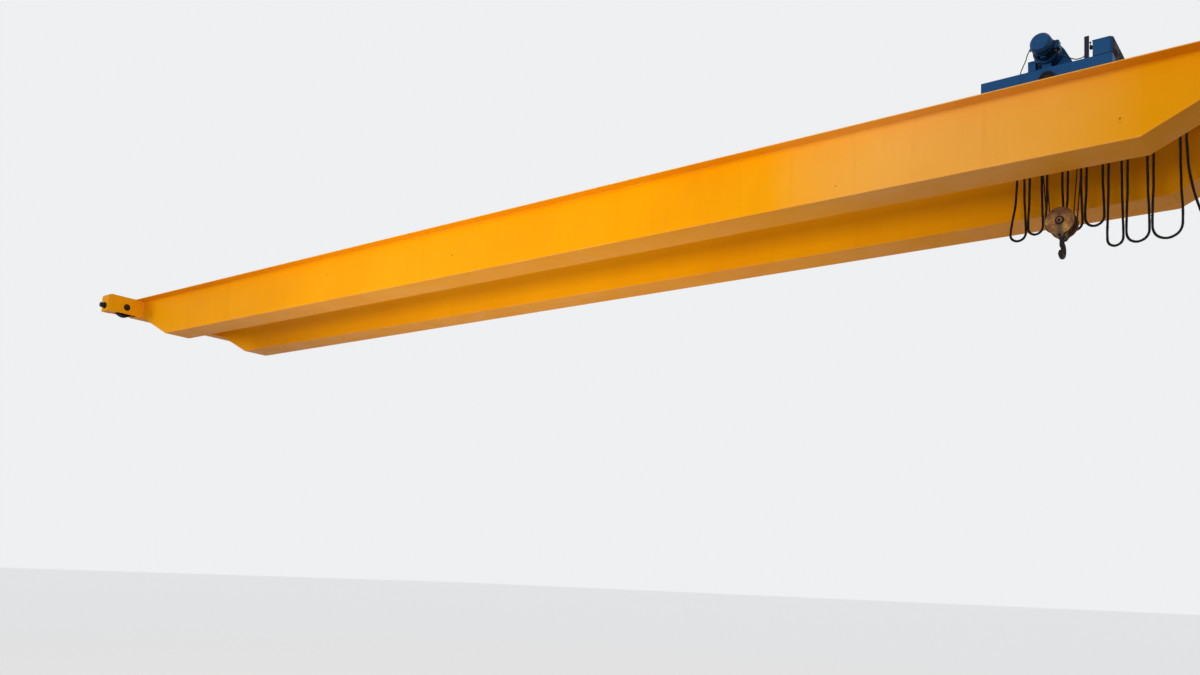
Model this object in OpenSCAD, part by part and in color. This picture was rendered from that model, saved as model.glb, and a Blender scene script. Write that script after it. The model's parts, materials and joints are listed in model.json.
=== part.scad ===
// Double girder overhead bridge crane with a wire rope trolley.
// X runs along the span, Y along the runway, Z up. The origin is on the underside of the left end
// truck, midway between its wheels. The crane is drawn with its trolley near the right hand end.

/* [Bridge] */
// Span between the centre lines of the two runway rails
span = 22500; // [18000:100:28000]
// Distance between the girder centre lines, which is also the trolley's rail gauge
gauge = 2100; // [2000:10:2600]
// Depth of each box girder over its flanges
girder_depth = 870; // [700:10:1100]
// Width of each box girder over its webs
girder_width = 600; // [500:10:640]
// Depth of a girder where it meets the end truck
end_depth = 390; // [320:5:390]
// Length of the sloping end of each girder
taper_length = 1010; // [800:10:1400]
// How far the top flange stands past a girder's outer web
flange_lip = 200; // [140:5:220]
// How far the top flange stands past a girder's inner web
inner_lip = 100; // [60:5:110]
// Thickness of the top flange
top_flange_t = 12; // [8:1:20]
// Thickness of the bottom flange
bottom_flange_t = 10; // [8:1:20]
// Thickness of each web
web_t = 6; // [5:1:12]
// Number of diaphragms inside each girder
diaphragm_count = 13; // [6:1:18]
// Thickness of a diaphragm
diaphragm_t = 6; // [5:1:10]
// Thickness of the plate that closes each end of a girder
end_plate_t = 14; // [10:1:25]

/* [End trucks] */
// Length of an end truck's box
truck_length = 4400; // [4300:20:5400]
// Width of an end truck's box
truck_width = 280; // [240:10:340]
// Depth of an end truck's box
truck_depth = 400; // [400:10:480]
// Plate thickness of an end truck
truck_wall = 10; // [8:1:14]
// Distance between the two wheels of an end truck
wheel_base = 3500; // [3400:20:4200]
// Tread diameter of a bridge wheel
wheel_d = 400; // [380:10:430]
// How far a bridge wheel's tread stands below the truck
wheel_drop = 35; // [25:1:60]
// Width of a bridge wheel's tread
tread_w = 74; // [60:1:90]
// Height of a bridge wheel's flanges over its tread
wheel_flange_h = 18; // [12:1:22]
// Diameter of a bridge wheel's axle
bridge_axle_d = 90; // [70:5:110]
// Diameter of a rubber buffer
buffer_d = 120; // [90:5:160]
// Length of a rubber buffer
buffer_l = 100; // [60:5:160]
// Height of a buffer's centre above the truck's underside
buffer_z = 130; // [110:5:200]

/* [Trolley rail] */
// Width of the rail bar on each girder
rail_w = 50; // [40:1:60]
// Height of the rail bar
rail_h = 50; // [40:1:70]
// Distance from a girder's end to its rail stop
stop_inset = 160; // [120:10:300]

/* [Trolley] */
// Distance of the trolley's middle from the right runway rail
trolley_inset = 2250; // [2200:10:6000]
// Length of the trolley's side frames
frame_length = 1530; // [1500:10:1900]
// Width of a side frame
side_w = 190; // [170:5:220]
// Depth of a side frame
side_depth = 215; // [205:1:230]
// Height of the side frames' top over the girders
frame_top = 325; // [315:1:350]
// Plate thickness of the trolley's frame
frame_t = 10; // [8:1:14]
// Distance between the wheels of a side frame
trolley_wheel_base = 1080; // [1000:10:1090]
// Tread diameter of a trolley wheel
trolley_wheel_d = 200; // [180:5:220]
// Diameter of a trolley wheel's axle
trolley_axle_d = 50; // [40:1:60]
// Width of a cross beam
beam_w = 150; // [120:5:170]
// Depth of a cross beam
beam_depth = 190; // [150:5:200]

/* [Hoist] */
// Diameter of the rope
rope_d = 14; // [10:1:18]
// Radius of the rope's centre line on the drum
drum_rope_r = 155; // [145:1:160]
// Length of the grooved drum
drum_l = 960; // [800:10:980]
// Wall of the drum
drum_wall = 14; // [10:1:20]
// Height of the drum's axis over the girders
drum_h = 180; // [176:1:200]
// How far each rope fall leans outwards from the block up to the drum or the equaliser
fall_lean = 100; // [60:5:120]
// Radius of the rope's centre line on a block sheave
sheave_rope_r = 162; // [150:1:175]
// Distance of each rope fall from the middle of the block, along the runway
fall_y = 95; // [88:1:105]
// Depth of the block's axle below the girders' top
block_drop = 1265; // [1000:5:2200]
// Diameter of the hoist motor's body
motor_d = 260; // [220:5:280]
// Length of the hoist motor's body
motor_l = 325; // [280:5:360]
// Height of the hoist motor's axis over the girders
motor_h = 565; // [540:5:640]
// Distance of the hook's line from the trolley's middle, towards the left
hook_offset = 75; // [60:5:90]
// Length of the gear case along the drum
gearbox_l = 215; // [180:5:230]

/* [Cabinet] */
// Width of the cabinet along the span
cabinet_w = 218; // [180:2:240]
// Depth of the cabinet along the runway
cabinet_l = 700; // [560:10:800]
// Height of the cabinet over the side frame
cabinet_h = 200; // [160:5:260]
// Height of the limit switch post over the side frame
post_h = 282; // [200:2:320]

/* [Hook block] */
// Thickness of a round rope guard
guard_t = 10; // [6:1:12]
// Thickness of a carrying plate beside each sheave
cheek_t = 12; // [8:1:14]
// Width of a block sheave
sheave_w = 44; // [38:1:50]
// Diameter of the sheaves' axle
block_axle_d = 70; // [50:1:80]
// Radius of the middle line of the hook's bowl
bowl_r = 82; // [76:1:90]
// Thickness of the hook at the bottom of its bowl
hook_t = 66; // [56:1:70]
// Length of the hook's shank below the crosshead
shank_l = 103; // [60:1:140]

/* [Festoon] */
// Distance of the cable track from the middle of the crane
track_y = 540; // [520:5:560]
// Width and height of the cable track
track_size = 60; // [54:1:66]
// Wall of the cable track
track_wall = 4; // [3:0.5:5]
// Width of the slot under the cable track
track_slot = 24; // [22:1:26]
// Diameter of the hanging cable
cable_d = 28; // [20:1:32]
// Distance of a cable leg from the middle of its carrier
leg_x = 36; // [30:1:42]

/* [Hidden] */
$fn = 64;
yellow = [0.93, 0.60, 0.04];
blue = [0.10, 0.24, 0.42];
steel = [0.55, 0.55, 0.56];
dark = [0.13, 0.13, 0.14];
rusty = [0.42, 0.30, 0.20];

// Running clearance between faces that slide or turn
gap = 0.3;
top = truck_depth;
girder_x0 = truck_width/2 + end_plate_t;
girder_x1 = span - girder_x0;
girder_y = gauge/2;
belly_z = top - girder_depth;
throat_z = top - end_depth;
wheel_z = wheel_d/2 - wheel_drop;
wheel_y = wheel_base/2;
wheel_total_w = tread_w + 56;
// The truck box's rounded upper end
truck_end_r = 90;

rail_top = top + rail_h;
rail_x0 = girder_x0 + 60;
rail_x1 = girder_x1 - 60;
stop_x0 = girder_x0 + stop_inset;
stop_x1 = girder_x1 - stop_inset;

trolley_x = span - trolley_inset;
side_top = top + frame_top;
side_z = side_top - side_depth;
side_in = girder_y - side_w/2;
side_out = girder_y + side_w/2;
trolley_wheel_z = rail_top + gap + trolley_wheel_d/2;
beam_x = frame_length/2 - beam_w/2;
beam_z = side_top - beam_depth;

hook_x = trolley_x - hook_offset;
drum_z = top + drum_h;
drum_x = hook_x + sheave_rope_r + fall_lean - drum_rope_r;
drum_r = drum_rope_r - rope_d/2 - gap;
drum_shaft_d = 90;
groove_pitch = rope_d + 6;
equal_x = hook_x - sheave_rope_r - fall_lean;
equal_z = drum_z;
block_z = top - block_drop;
sheave_r = sheave_rope_r + rope_d/2 + 8;
// The ropes lie clear of their grooves by this much
rope_gap = 1.2;
// Faces of the carrying plates and of the rope guards, from the middle of the block
cheek_out = fall_y - sheave_w/2 - 1;
cheek_in = cheek_out - cheek_t;
guard_in = fall_y + sheave_w/2 + 1;
guard_out = guard_in + guard_t;
guard_r = sheave_r + 1;
// Half the crosshead's height, its depth below the sheaves' axle, and its trunnions and shank hole
cross_half = 34;
cross_drop = block_axle_d/2 + cross_half + 82;
trunnion_d = 56;
shank_d = 58;

motor_z = top + motor_h;
motor_x = trolley_x + 3;
gearbox_y0 = -side_in;
motor_y0 = gearbox_y0 - motor_l;
cowl_l = 95;
// Length of the bell between the gear case and the motor
bell_l = 150;

cabinet_x1 = trolley_x + frame_length/2;
cabinet_x0 = cabinet_x1 - cabinet_w;
// Clear space between the cabinet and the post
post_gap = 43;
post_w = 54;

track_bottom = top - track_size;
clamp_z = track_bottom - 100;
track_x0 = stop_x0 + 200;
track_x1 = girder_x1 - 70;
bracket_count = 14;
anchor_x = track_x1 - 61;
// Rest places of the tow carriage and the cable carriers, as distances to the left of the anchor
CARRIER_BACK = [2790, 2625, 2395, 2130, 1895, 1625, 1395, 1090, 710];
CARRIER_X = [for (d = CARRIER_BACK) anchor_x - d];
// Lowest point of each loop's centre line below the track, from the tow carriage to the anchor
LOOP_DROP = [1175, 1120, 1130, 1150, 1130, 1440, 1430, 1440, 1300];
// How far each loop swells past its left leg and past its right leg
LOOP_SWELL = [[92, 22], [18, 14], [18, 16], [18, 18], [18, 16], [18, 14], [18, 16], [18, 18], [-110, 20]];

// Plate between two corners
module slab(a, b) {
    translate([min(a.x, b.x), min(a.y, b.y), min(a.z, b.z)])
        cube([abs(b.x - a.x), abs(b.y - a.y), abs(b.z - a.z)]);
}

// Round bar along Y from y0 to y1
module bar_y(x, z, d, y0, y1) {
    translate([x, y1, z]) rotate([90, 0, 0]) cylinder(d = d, h = y1 - y0);
}

// Round bar along X from x0 to x1
module bar_x(y, z, d, x0, x1) {
    translate([x0, y, z]) rotate([0, 90, 0]) cylinder(d = d, h = x1 - x0);
}

// Side outline of a girder between its flanges, drawn in X and Z
function belly_line(lift) = [
    [girder_x0, throat_z + lift],
    [girder_x0 + taper_length, belly_z + lift],
    [girder_x1 - taper_length, belly_z + lift],
    [girder_x1, throat_z + lift]
];

module side_profile(points, y0, y1) {
    translate([0, y1, 0]) rotate([90, 0, 0]) linear_extrude(y1 - y0) polygon(points);
}

module web(y0) {
    color(yellow) side_profile(concat(
        [[girder_x1, top - top_flange_t], [girder_x0, top - top_flange_t]],
        belly_line(bottom_flange_t)), y0, y0 + web_t);
}

module top_flange(side) {
    color(yellow) slab(
        [girder_x0, side*(girder_y - girder_width/2 - inner_lip), top - top_flange_t],
        [girder_x1, side*(girder_y + girder_width/2 + flange_lip), top]);
}

function reversed(list) = [for (i = [len(list) - 1:-1:0]) list[i]];

module bottom_flange(side) {
    color(yellow) side_profile(concat(belly_line(0), reversed(belly_line(bottom_flange_t))),
        side*girder_y - girder_width/2, side*girder_y + girder_width/2);
}

module girder_end_plates() {
    color(yellow)
    for (x = [truck_width/2, girder_x1], side = [-1, 1])
        slab([x, side*girder_y - girder_width/2 - 40, throat_z],
             [x + end_plate_t, side*girder_y + girder_width/2 + 40, top]);
}

// The diaphragms stop short of the bottom flange, as in a real box girder
module diaphragms() {
    inner = girder_width/2 - web_t;
    first = girder_x0 + taper_length;
    pitch = (girder_x1 - girder_x0 - 2*taper_length)/(diaphragm_count - 1);
    color(yellow)
    for (side = [-1, 1], i = [0:diaphragm_count - 1])
        slab([first + i*pitch - diaphragm_t/2, side*girder_y - inner, belly_z + bottom_flange_t + 60],
             [first + i*pitch + diaphragm_t/2, side*girder_y + inner, top - top_flange_t]);
}

module trolley_rails() {
    color(steel)
    for (side = [-1, 1])
        side_rail(side*girder_y);
}

// Square bar with chamfered upper edges
module side_rail(y) {
    c = 4;
    translate([rail_x0, y, top]) rotate([90, 0, 90]) linear_extrude(rail_x1 - rail_x0)
        polygon([[-rail_w/2, 0], [rail_w/2, 0], [rail_w/2, rail_h - c], [rail_w/2 - c, rail_h],
                 [-rail_w/2 + c, rail_h], [-rail_w/2, rail_h - c]]);
}

// Gusseted stop astride the rail, with its face towards the trolley
module rail_stop(x, y, toward) {
    translate([x, y, top]) {
        for (s = [-1, 1])
            translate([0, s*(rail_w/2 + 8), 0]) rotate([90, 0, 0]) translate([0, 0, -6])
                linear_extrude(12)
                polygon([[0, 0], [0, 210], [-toward*24, 210], [-toward*130, 40], [-toward*130, 0]]);
        slab([0, -rail_w/2 - 14, rail_h + 2], [toward*14, rail_w/2 + 14, 210]);
    }
}

module rail_stops() {
    color(yellow)
    for (side = [-1, 1]) {
        rail_stop(stop_x0, side*girder_y, 1);
        rail_stop(stop_x1, side*girder_y, -1);
    }
}

// Outline of an end truck seen from the span, with its rounded upper ends
module truck_outline(inset) {
    r = truck_end_r - inset;
    intersection() {
        translate([-truck_length/2 + inset, inset])
            square([truck_length - 2*inset, truck_depth - 2*inset]);
        union() {
            translate([-truck_length/2 + truck_end_r, inset])
                square([truck_length - 2*truck_end_r, truck_depth - 2*inset]);
            translate([-truck_length/2 + inset, inset])
                square([truck_length - 2*inset, truck_depth - truck_end_r - inset]);
            for (s = [-1, 1])
                translate([s*(truck_length/2 - truck_end_r), truck_depth - truck_end_r]) circle(r);
        }
    }
}

// Hollow box with an open pocket under each wheel and an access hole at each axle
module end_truck(x) {
    pocket = wheel_d/2 + wheel_flange_h + 20;
    color(yellow)
    translate([x, 0, 0])
    difference() {
        translate([-truck_width/2, 0, 0]) rotate([90, 0, 90])
            linear_extrude(truck_width) truck_outline(0);
        translate([-truck_width/2 + truck_wall, 0, 0]) rotate([90, 0, 90])
            linear_extrude(truck_width - 2*truck_wall) truck_outline(truck_wall);
        for (s = [-1, 1]) {
            slab([-truck_width/2 - 1, s*wheel_y - pocket, -1],
                 [truck_width/2 + 1, s*wheel_y + pocket, truck_wall + 1]);
            bar_x(s*wheel_y, wheel_z, bridge_axle_d + 1, -truck_width, truck_width);
        }
    }
}

module left_end_truck() { end_truck(0); }
module right_end_truck() { end_truck(span); }

// Double flanged wheel with its axle, about an axis along X
module bridge_wheel(x, y) {
    r = wheel_d/2;
    f = r + wheel_flange_h;
    half = wheel_total_w/2;
    translate([x, y, wheel_z]) rotate([0, 90, 0]) {
        rotate_extrude() polygon([
            [0, -half], [75, -half], [85, -half + 22], [r - 40, -half + 22], [r - 30, -half],
            [f - 4, -half], [f, -half + 8], [r + 2, -tread_w/2], [r, -tread_w/2 + 2],
            [r, tread_w/2 - 2], [r + 2, tread_w/2], [f, half - 8], [f - 4, half],
            [r - 30, half], [r - 40, half - 22], [85, half - 22], [75, half], [0, half]]);
        translate([0, 0, -truck_width/2 + 4]) cylinder(d = bridge_axle_d, h = truck_width - 8);
    }
}

module bridge_wheels() {
    color(dark)
    for (x = [0, span], s = [-1, 1])
        bridge_wheel(x, s*wheel_y);
}

module buffers() {
    color(dark)
    for (x = [0, span], s = [-1, 1])
        translate([x, s*truck_length/2, buffer_z]) rotate([-s*90, 0, 0]) {
            cylinder(d = buffer_d + 30, h = 10);
            translate([0, 0, 10]) cylinder(d1 = buffer_d, d2 = buffer_d - 8, h = buffer_l - 10);
        }
}

// Geared motor on the inner side of each end truck, at the wheel beyond the far girder
module travel_drive(x, inward) {
    face = x + inward*truck_width/2;
    translate([face, wheel_y, wheel_z]) rotate([0, inward*90, 0]) {
        cylinder(d = 190, h = 90);
        translate([0, 0, 90]) cylinder(d = 150, h = 60);
        translate([0, 0, 150]) linear_extrude(210) finned_ring(66, 80, 20, 6);
        translate([0, 0, 360]) cylinder(d1 = 158, d2 = 140, h = 70);
    }
    translate([face + inward*190, wheel_y, wheel_z + 66])
        slab([0, -45, 0], [inward*110, 45, 50]);
}

module travel_drives() {
    color(blue) {
        travel_drive(0, 1);
        travel_drive(span, -1);
    }
}

// Round body with cooling fins along it, drawn across its axis
module finned_ring(body_r, fin_r, fins, fin_t) {
    circle(body_r);
    for (i = [0:fins - 1])
        rotate(i*360/fins) translate([body_r - 2, -fin_t/2]) square([fin_r - body_r + 2, fin_t]);
}

// Rail of a box section, open along a slot below, that carries the cable trolleys
module festoon_track() {
    color(steel)
    translate([track_x0, track_y, track_bottom]) rotate([90, 0, 90])
        linear_extrude(track_x1 - track_x0) difference() {
            translate([-track_size/2, 0]) square(track_size);
            translate([-track_size/2 + track_wall, track_wall])
                square(track_size - 2*track_wall);
            translate([-track_slot/2, -1]) square([track_slot, track_wall + 2]);
        }
}

// Straps from the girder's top flange to the track, and the anchor that holds the cable's end
module festoon_brackets() {
    edge = girder_y - girder_width/2 - inner_lip;
    pitch = (track_x1 - track_x0 - 200)/(bracket_count - 1);
    color(yellow)
    for (i = [0:bracket_count - 1])
        translate([track_x0 + 100 + i*pitch, 0, top]) {
            slab([-30, track_y - track_size/2 - 4, 0], [30, edge + 70, 8]);
            bar_z(0, edge + 40, 8, 10, 24);
        }
    color(dark) {
        slab([anchor_x - 46, track_y - 18, clamp_z], [anchor_x + 46, track_y + 18, clamp_z + 40]);
        slab([anchor_x - 20, track_y - 8, clamp_z + 40], [anchor_x + 20, track_y + 8, track_bottom]);
        slab([anchor_x - 20, track_y - track_size/2, track_bottom - 6],
             [anchor_x + 20, track_y + track_size/2, track_bottom]);
    }
}

// Upright round bar or bolt head
module bar_z(x, y, z, h, d) {
    translate([x, y, z]) cylinder(d = d, h = h);
}

// Cable trolley: four small wheels in the track, a hanger and a saddle with a sleeve for each leg
module carrier(i) {
    wheel_r = 15;
    axle_z = track_bottom + track_wall + gap + wheel_r;
    saddle_r = leg_x + cable_d/2 + 4;
    translate([CARRIER_X[i], track_y, 0]) {
        color(steel) {
            for (s = [-1, 1]) {
                bar_y(s*24, axle_z, 2*wheel_r, 12.5, 23);
                bar_y(s*24, axle_z, 2*wheel_r, -23, -12.5);
                bar_y(s*24, axle_z, 10, -24, 24);
            }
            slab([-38, -6, clamp_z + 55], [38, 6, axle_z + 10]);
        }
        color(dark) {
            intersection() {
                bar_y(0, clamp_z + 30, 2*saddle_r, -18, 18);
                slab([-saddle_r, -18, clamp_z + 30], [saddle_r, 18, clamp_z + 90]);
            }
            for (s = [-1, 1])
                bar_z(s*leg_x, 0, clamp_z + gap, 32, cable_d + 8);
        }
    }
}

module tow_carriage() { carrier(0); }
module carrier_1() { carrier(1); }
module carrier_2() { carrier(2); }
module carrier_3() { carrier(3); }
module carrier_4() { carrier(4); }
module carrier_5() { carrier(5); }
module carrier_6() { carrier(6); }
module carrier_7() { carrier(7); }
module carrier_8() { carrier(8); }

// Tube of round section along a row of points, closed at both ends
module tube(points, d, sides) {
    n = len(points);
    ring = [for (i = [0:n - 1])
        let (
            a = points[max(0, i - 1)],
            b = points[min(n - 1, i + 1)],
            along = (b - a)/norm(b - a),
            across = [0, 1, 0],
            up = cross(along, across)
        )
        for (k = [0:sides - 1])
            points[i] + d/2*(cos(360*k/sides)*across + sin(360*k/sides)*up)];
    polyhedron(points = ring, faces = concat(
        [[for (k = [sides - 1:-1:0]) k]],
        [for (i = [0:n - 2], k = [0:sides - 1])
            [i*sides + k, i*sides + (k + 1)%sides, (i + 1)*sides + (k + 1)%sides, (i + 1)*sides + k]],
        [[for (k = [0:sides - 1]) (n - 1)*sides + k]]
    ), convexity = 4);
}

// Centre line of a loop that hangs from a to b: two legs that swell outwards and a round bottom
function loop_points(xa, xb, drop, swell) =
    let (
        mid = (xa - swell[0] + xb + swell[1])/2,
        r = (xb + swell[1] - xa + swell[0])/2,
        low = track_bottom - drop,
        start = clamp_z - 120,
        leg = start - low - r,
        steps = 4
    )
    concat(
        [[xa, track_y, clamp_z], [xa, track_y, start]],
        [[xa - swell[0]*0.25, track_y, start - leg/2], [mid - r, track_y, start - leg]],
        [for (i = [1:steps - 1]) [mid - r*cos(180*i/steps), track_y, low + r - r*sin(180*i/steps)]],
        [[mid + r, track_y, start - leg], [xb + swell[1]*0.25, track_y, start - leg/2]],
        [[xb, track_y, start], [xb, track_y, clamp_z]]
    );

module festoon_cable() {
    ends = concat(CARRIER_X, [anchor_x]);
    color(dark)
    for (i = [0:len(CARRIER_X) - 1])
        tube(loop_points(ends[i] + leg_x, ends[i + 1] - leg_x, LOOP_DROP[i], LOOP_SWELL[i]),
             cable_d, 8);
}

// Trolley side frame: an inverted channel with closed ends, which the wheels run inside
module side_frame(side) {
    y = side*girder_y;
    color(blue)
    translate([trolley_x, y, 0])
    difference() {
        slab([-frame_length/2, -side_w/2, side_z], [frame_length/2, side_w/2, side_top]);
        slab([-frame_length/2 + frame_t, -side_w/2 + frame_t, side_z - 1],
             [frame_length/2 - frame_t, side_w/2 - frame_t, side_top - frame_t]);
        for (s = [-1, 1])
            bar_y(s*trolley_wheel_base/2, trolley_wheel_z, trolley_axle_d + 1, -side_w, side_w);
    }
}

module trolley_near_side() {
    side_frame(-1);
    motor_bracket();
    color(dark)
    bar_y(drum_x, drum_z, 210, -side_out - 14, -side_out);
}

module trolley_far_side() {
    side_frame(1);
    color(blue)
    translate([drum_x, side_in - 50, drum_z]) difference() {
        union() {
            bar_y(0, 0, 170, 0, 50);
            slab([-85, 0, side_z - drum_z], [85, 50, 0]);
        }
        bar_y(0, 0, drum_shaft_d + 2*gap, -1, 51);
    }
}

module trolley_wheel(x, y) {
    r = trolley_wheel_d/2;
    f = r + 14;
    translate([x, y, trolley_wheel_z]) rotate([90, 0, 0]) {
        rotate_extrude() polygon([
            [0, -50], [40, -50], [45, -38], [r - 24, -38], [r - 18, -44], [f - 3, -44],
            [f, -38], [r, -rail_w/2 - 5], [r, rail_w/2 + 5], [f, 38], [f - 3, 44],
            [r - 18, 44], [r - 24, 38], [45, 38], [40, 50], [0, 50]]);
        translate([0, 0, -side_w/2 + 1]) cylinder(d = trolley_axle_d, h = side_w - 2);
    }
}

module trolley_wheels() {
    color(dark)
    for (s = [-1, 1], side = [-1, 1])
        trolley_wheel(trolley_x + s*trolley_wheel_base/2, side*girder_y);
}

// Hollow cross beams between the side frames
module trolley_cross_beams() {
    color(blue)
    for (s = [-1, 1])
        translate([trolley_x + s*beam_x, 0, beam_z]) difference() {
            slab([-beam_w/2, -side_in, 0], [beam_w/2, side_in, beam_depth]);
            slab([-beam_w/2 + frame_t, -side_in - 1, frame_t],
                 [beam_w/2 - frame_t, side_in + 1, beam_depth - frame_t]);
        }
}

// Grooved drum shell with its end discs and through shaft
module rope_drum() {
    half = drum_l/2;
    grooves = floor((half - 110)/groove_pitch);
    depth = rope_d*0.35;
    function groove(y, dir) = [
        [drum_r, y - dir*rope_d/2], [drum_r - depth*0.8, y - dir*rope_d/4],
        [drum_r - depth, y], [drum_r - depth*0.8, y + dir*rope_d/4], [drum_r, y + dir*rope_d/2]];
    outer = concat(
        [[drum_r + 12, -half], [drum_r + 12, -half + 14], [drum_r, -half + 14]],
        [for (i = [0:grooves - 1]) each groove(-half + 40 + i*groove_pitch, 1)],
        [for (i = [0:grooves - 1]) each groove(half - 40 - (grooves - 1 - i)*groove_pitch, 1)],
        [[drum_r, half - 14], [drum_r + 12, half - 14], [drum_r + 12, half]]);
    inner_r = drum_r - drum_wall;
    color(steel)
    translate([drum_x, 0, drum_z]) rotate([-90, 0, 0]) {
        rotate_extrude() polygon(concat(outer, [
            [drum_shaft_d/2, half], [drum_shaft_d/2, half - 16], [inner_r, half - 16],
            [inner_r, -half + 16], [drum_shaft_d/2, -half + 16], [drum_shaft_d/2, -half]]));
        translate([0, 0, gearbox_y0 + gearbox_l + 18])
            cylinder(d = drum_shaft_d, h = side_in - gearbox_y0 - gearbox_l - 18);
    }
}

// Outline of the gear case around the motor's shaft and the train of gears down to the drum
module case_outline(inset) {
    top_r = motor_d/2 + 52 - inset;
    low_r = 208 - inset;
    low = [drum_x + 96, drum_z + 82];
    away = low - [motor_x, motor_z];
    turn = atan2(away.y, away.x);
    spread = acos((low_r - top_r)/norm(away));
    function on(c, r, a) = [c.x + r*cos(a), c.y + r*sin(a)];
    translate([motor_x, motor_z]) circle(top_r);
    translate(low) circle(low_r);
    translate([drum_x, drum_z]) circle(150 - inset);
    polygon([on([motor_x, motor_z], top_r, turn + 180 - spread), on(low, low_r, turn + 180 - spread),
             on(low, low_r, turn + 180 + spread), on([motor_x, motor_z], top_r, turn + 180 + spread)]);
}

// Upright gear case between the drum and the motor, behind the near side frame, with its parting
// flange, the bell that carries the motor and a pedestal under it on the side frame
module hoist_gearbox() {
    flange_at = gearbox_l*0.42;
    color(blue)
    translate([0, gearbox_y0 + gearbox_l, 0]) rotate([90, 0, 0]) {
        linear_extrude(gearbox_l) case_outline(10);
        translate([0, 0, flange_at]) linear_extrude(24) case_outline(0);
        translate([drum_x, drum_z, -18]) cylinder(r = 90, h = 18);
        translate([motor_x, motor_z, gearbox_l]) cylinder(r1 = 166, r2 = 146, h = bell_l - 20);
        translate([motor_x, motor_z, gearbox_l + bell_l - 20]) cylinder(r = 150, h = 20);
    }
    color(blue) {
        slab([motor_x - 70, -side_out + 60, side_top], [motor_x + 70, gearbox_y0, side_top + 14]);
        slab([motor_x - 54, -side_out + 84, side_top + 14], [motor_x + 54, gearbox_y0, motor_z - 120]);
    }
}

// Squirrel cage motor with its finned body, end bells, terminal box and fan cowl
module hoist_motor() {
    body_r = motor_d/2 - 16;
    body_l = motor_l - bell_l;
    color(blue)
    translate([motor_x, gearbox_y0 - bell_l, motor_z]) rotate([90, 0, 0]) {
        cylinder(r = motor_d/2, h = 18);
        translate([0, 0, 18]) linear_extrude(body_l - 42) finned_ring(body_r, motor_d/2, 28, 5);
        translate([0, 0, body_l - 24]) cylinder(r = motor_d/2 - 2, h = 24);
        translate([0, 0, body_l]) cylinder(r = motor_d/2 - 6, h = cowl_l - 36);
        translate([0, 0, body_l + cowl_l - 36]) cylinder(r1 = motor_d/2 - 6, r2 = 98, h = 36);
    }
    color(blue)
    slab([motor_x + body_r - 6, motor_y0 + 52, motor_z - 52],
         [motor_x + motor_d/2 + 44, motor_y0 + 150, motor_z + 44]);
}

// Channel upright on the near side frame, to the left of the motor
module motor_bracket() {
    x = motor_x - 196;
    w = 88;
    color(blue) {
        difference() {
            slab([x, -side_out, side_top], [x + w, -side_out + 120, side_top + 129]);
            slab([x + 8, -side_out + 10, side_top - 1], [x + w - 8, -side_out + 121, side_top + 130]);
        }
        slab([x + 4, -side_out + 6, side_top], [x + w - 4, -side_out + 120, side_top + 8]);
    }
}

// Geared motor that drives the right hand wheel of the far side frame
module trolley_drive() {
    x = trolley_x + trolley_wheel_base/2;
    color(blue)
    translate([x, side_out, trolley_wheel_z]) rotate([-90, 0, 0]) {
        cylinder(d = 130, h = 60);
        translate([0, 0, 60]) linear_extrude(190) finned_ring(50, 62, 18, 5);
        translate([0, 0, 250]) cylinder(d1 = 120, d2 = 104, h = 60);
    }
}

// Electrical cabinet on the right hand end of the near side frame and the cross beam, with a canted
// corner at its door and a lid that stands past its walls
module control_box() {
    cant = 30;
    lid = 6;
    y0 = -side_out;
    module footprint(out) {
        polygon([[cabinet_x0 - out, y0 - out], [cabinet_x1 - cant, y0 - out],
                 [cabinet_x1 + out, y0 + cant], [cabinet_x1 + out, y0 + cabinet_l + out],
                 [cabinet_x0 - out, y0 + cabinet_l + out]]);
    }
    color(blue) {
        translate([0, 0, side_top]) linear_extrude(cabinet_h - lid) footprint(0);
        translate([0, 0, side_top + cabinet_h - lid]) linear_extrude(lid) footprint(5);
        for (z = [40, cabinet_h - 70])
            bar_z(cabinet_x0 - 5, y0 + 60, side_top + z, 30, 14);
        translate([cabinet_x0 - 26, y0 + cabinet_l - 120, side_top + 60]) rotate([0, 90, 0])
            cylinder(d = 30, h = 26);
    }
}

// Upright channel that carries the trolley's limit switch
module limit_post() {
    x = cabinet_x0 - post_gap - post_w;
    color(dark) {
        difference() {
            slab([x, -side_out + 20, side_top], [x + post_w, -side_out + 80, side_top + post_h]);
            slab([x + 6, -side_out + 26, side_top + 8],
                 [x + post_w + 1, -side_out + 81, side_top + post_h + 1]);
        }
        slab([x - 20, -side_out + 14, side_top], [x + post_w + 20, -side_out + 100, side_top + 8]);
    }
}

// Sheave that evens out the two rope falls on the left, on an arm of the left cross beam
module equaliser() {
    beam_face = trolley_x - beam_x + beam_w/2;
    r = fall_y;
    color(steel)
    translate([equal_x, 0, equal_z]) rotate([0, 90, 0])
        rotate_extrude() polygon([
            [14, -20], [r + 14, -20], [r + 14, -16], [r - rope_d/2 + 3 - rope_gap, -7],
            [r - rope_d/2 - rope_gap, 0], [r - rope_d/2 + 3 - rope_gap, 7], [r + 14, 16],
            [r + 14, 20], [14, 20]]);
    color(blue) {
        slab([beam_face, -30, equal_z - 34], [equal_x - 26, 30, equal_z + 34]);
        slab([beam_face, -60, equal_z - 60], [beam_face + 14, 60, equal_z + 60]);
        bar_x(0, equal_z, 28, equal_x - 27, equal_x + 24);
    }
}

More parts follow.
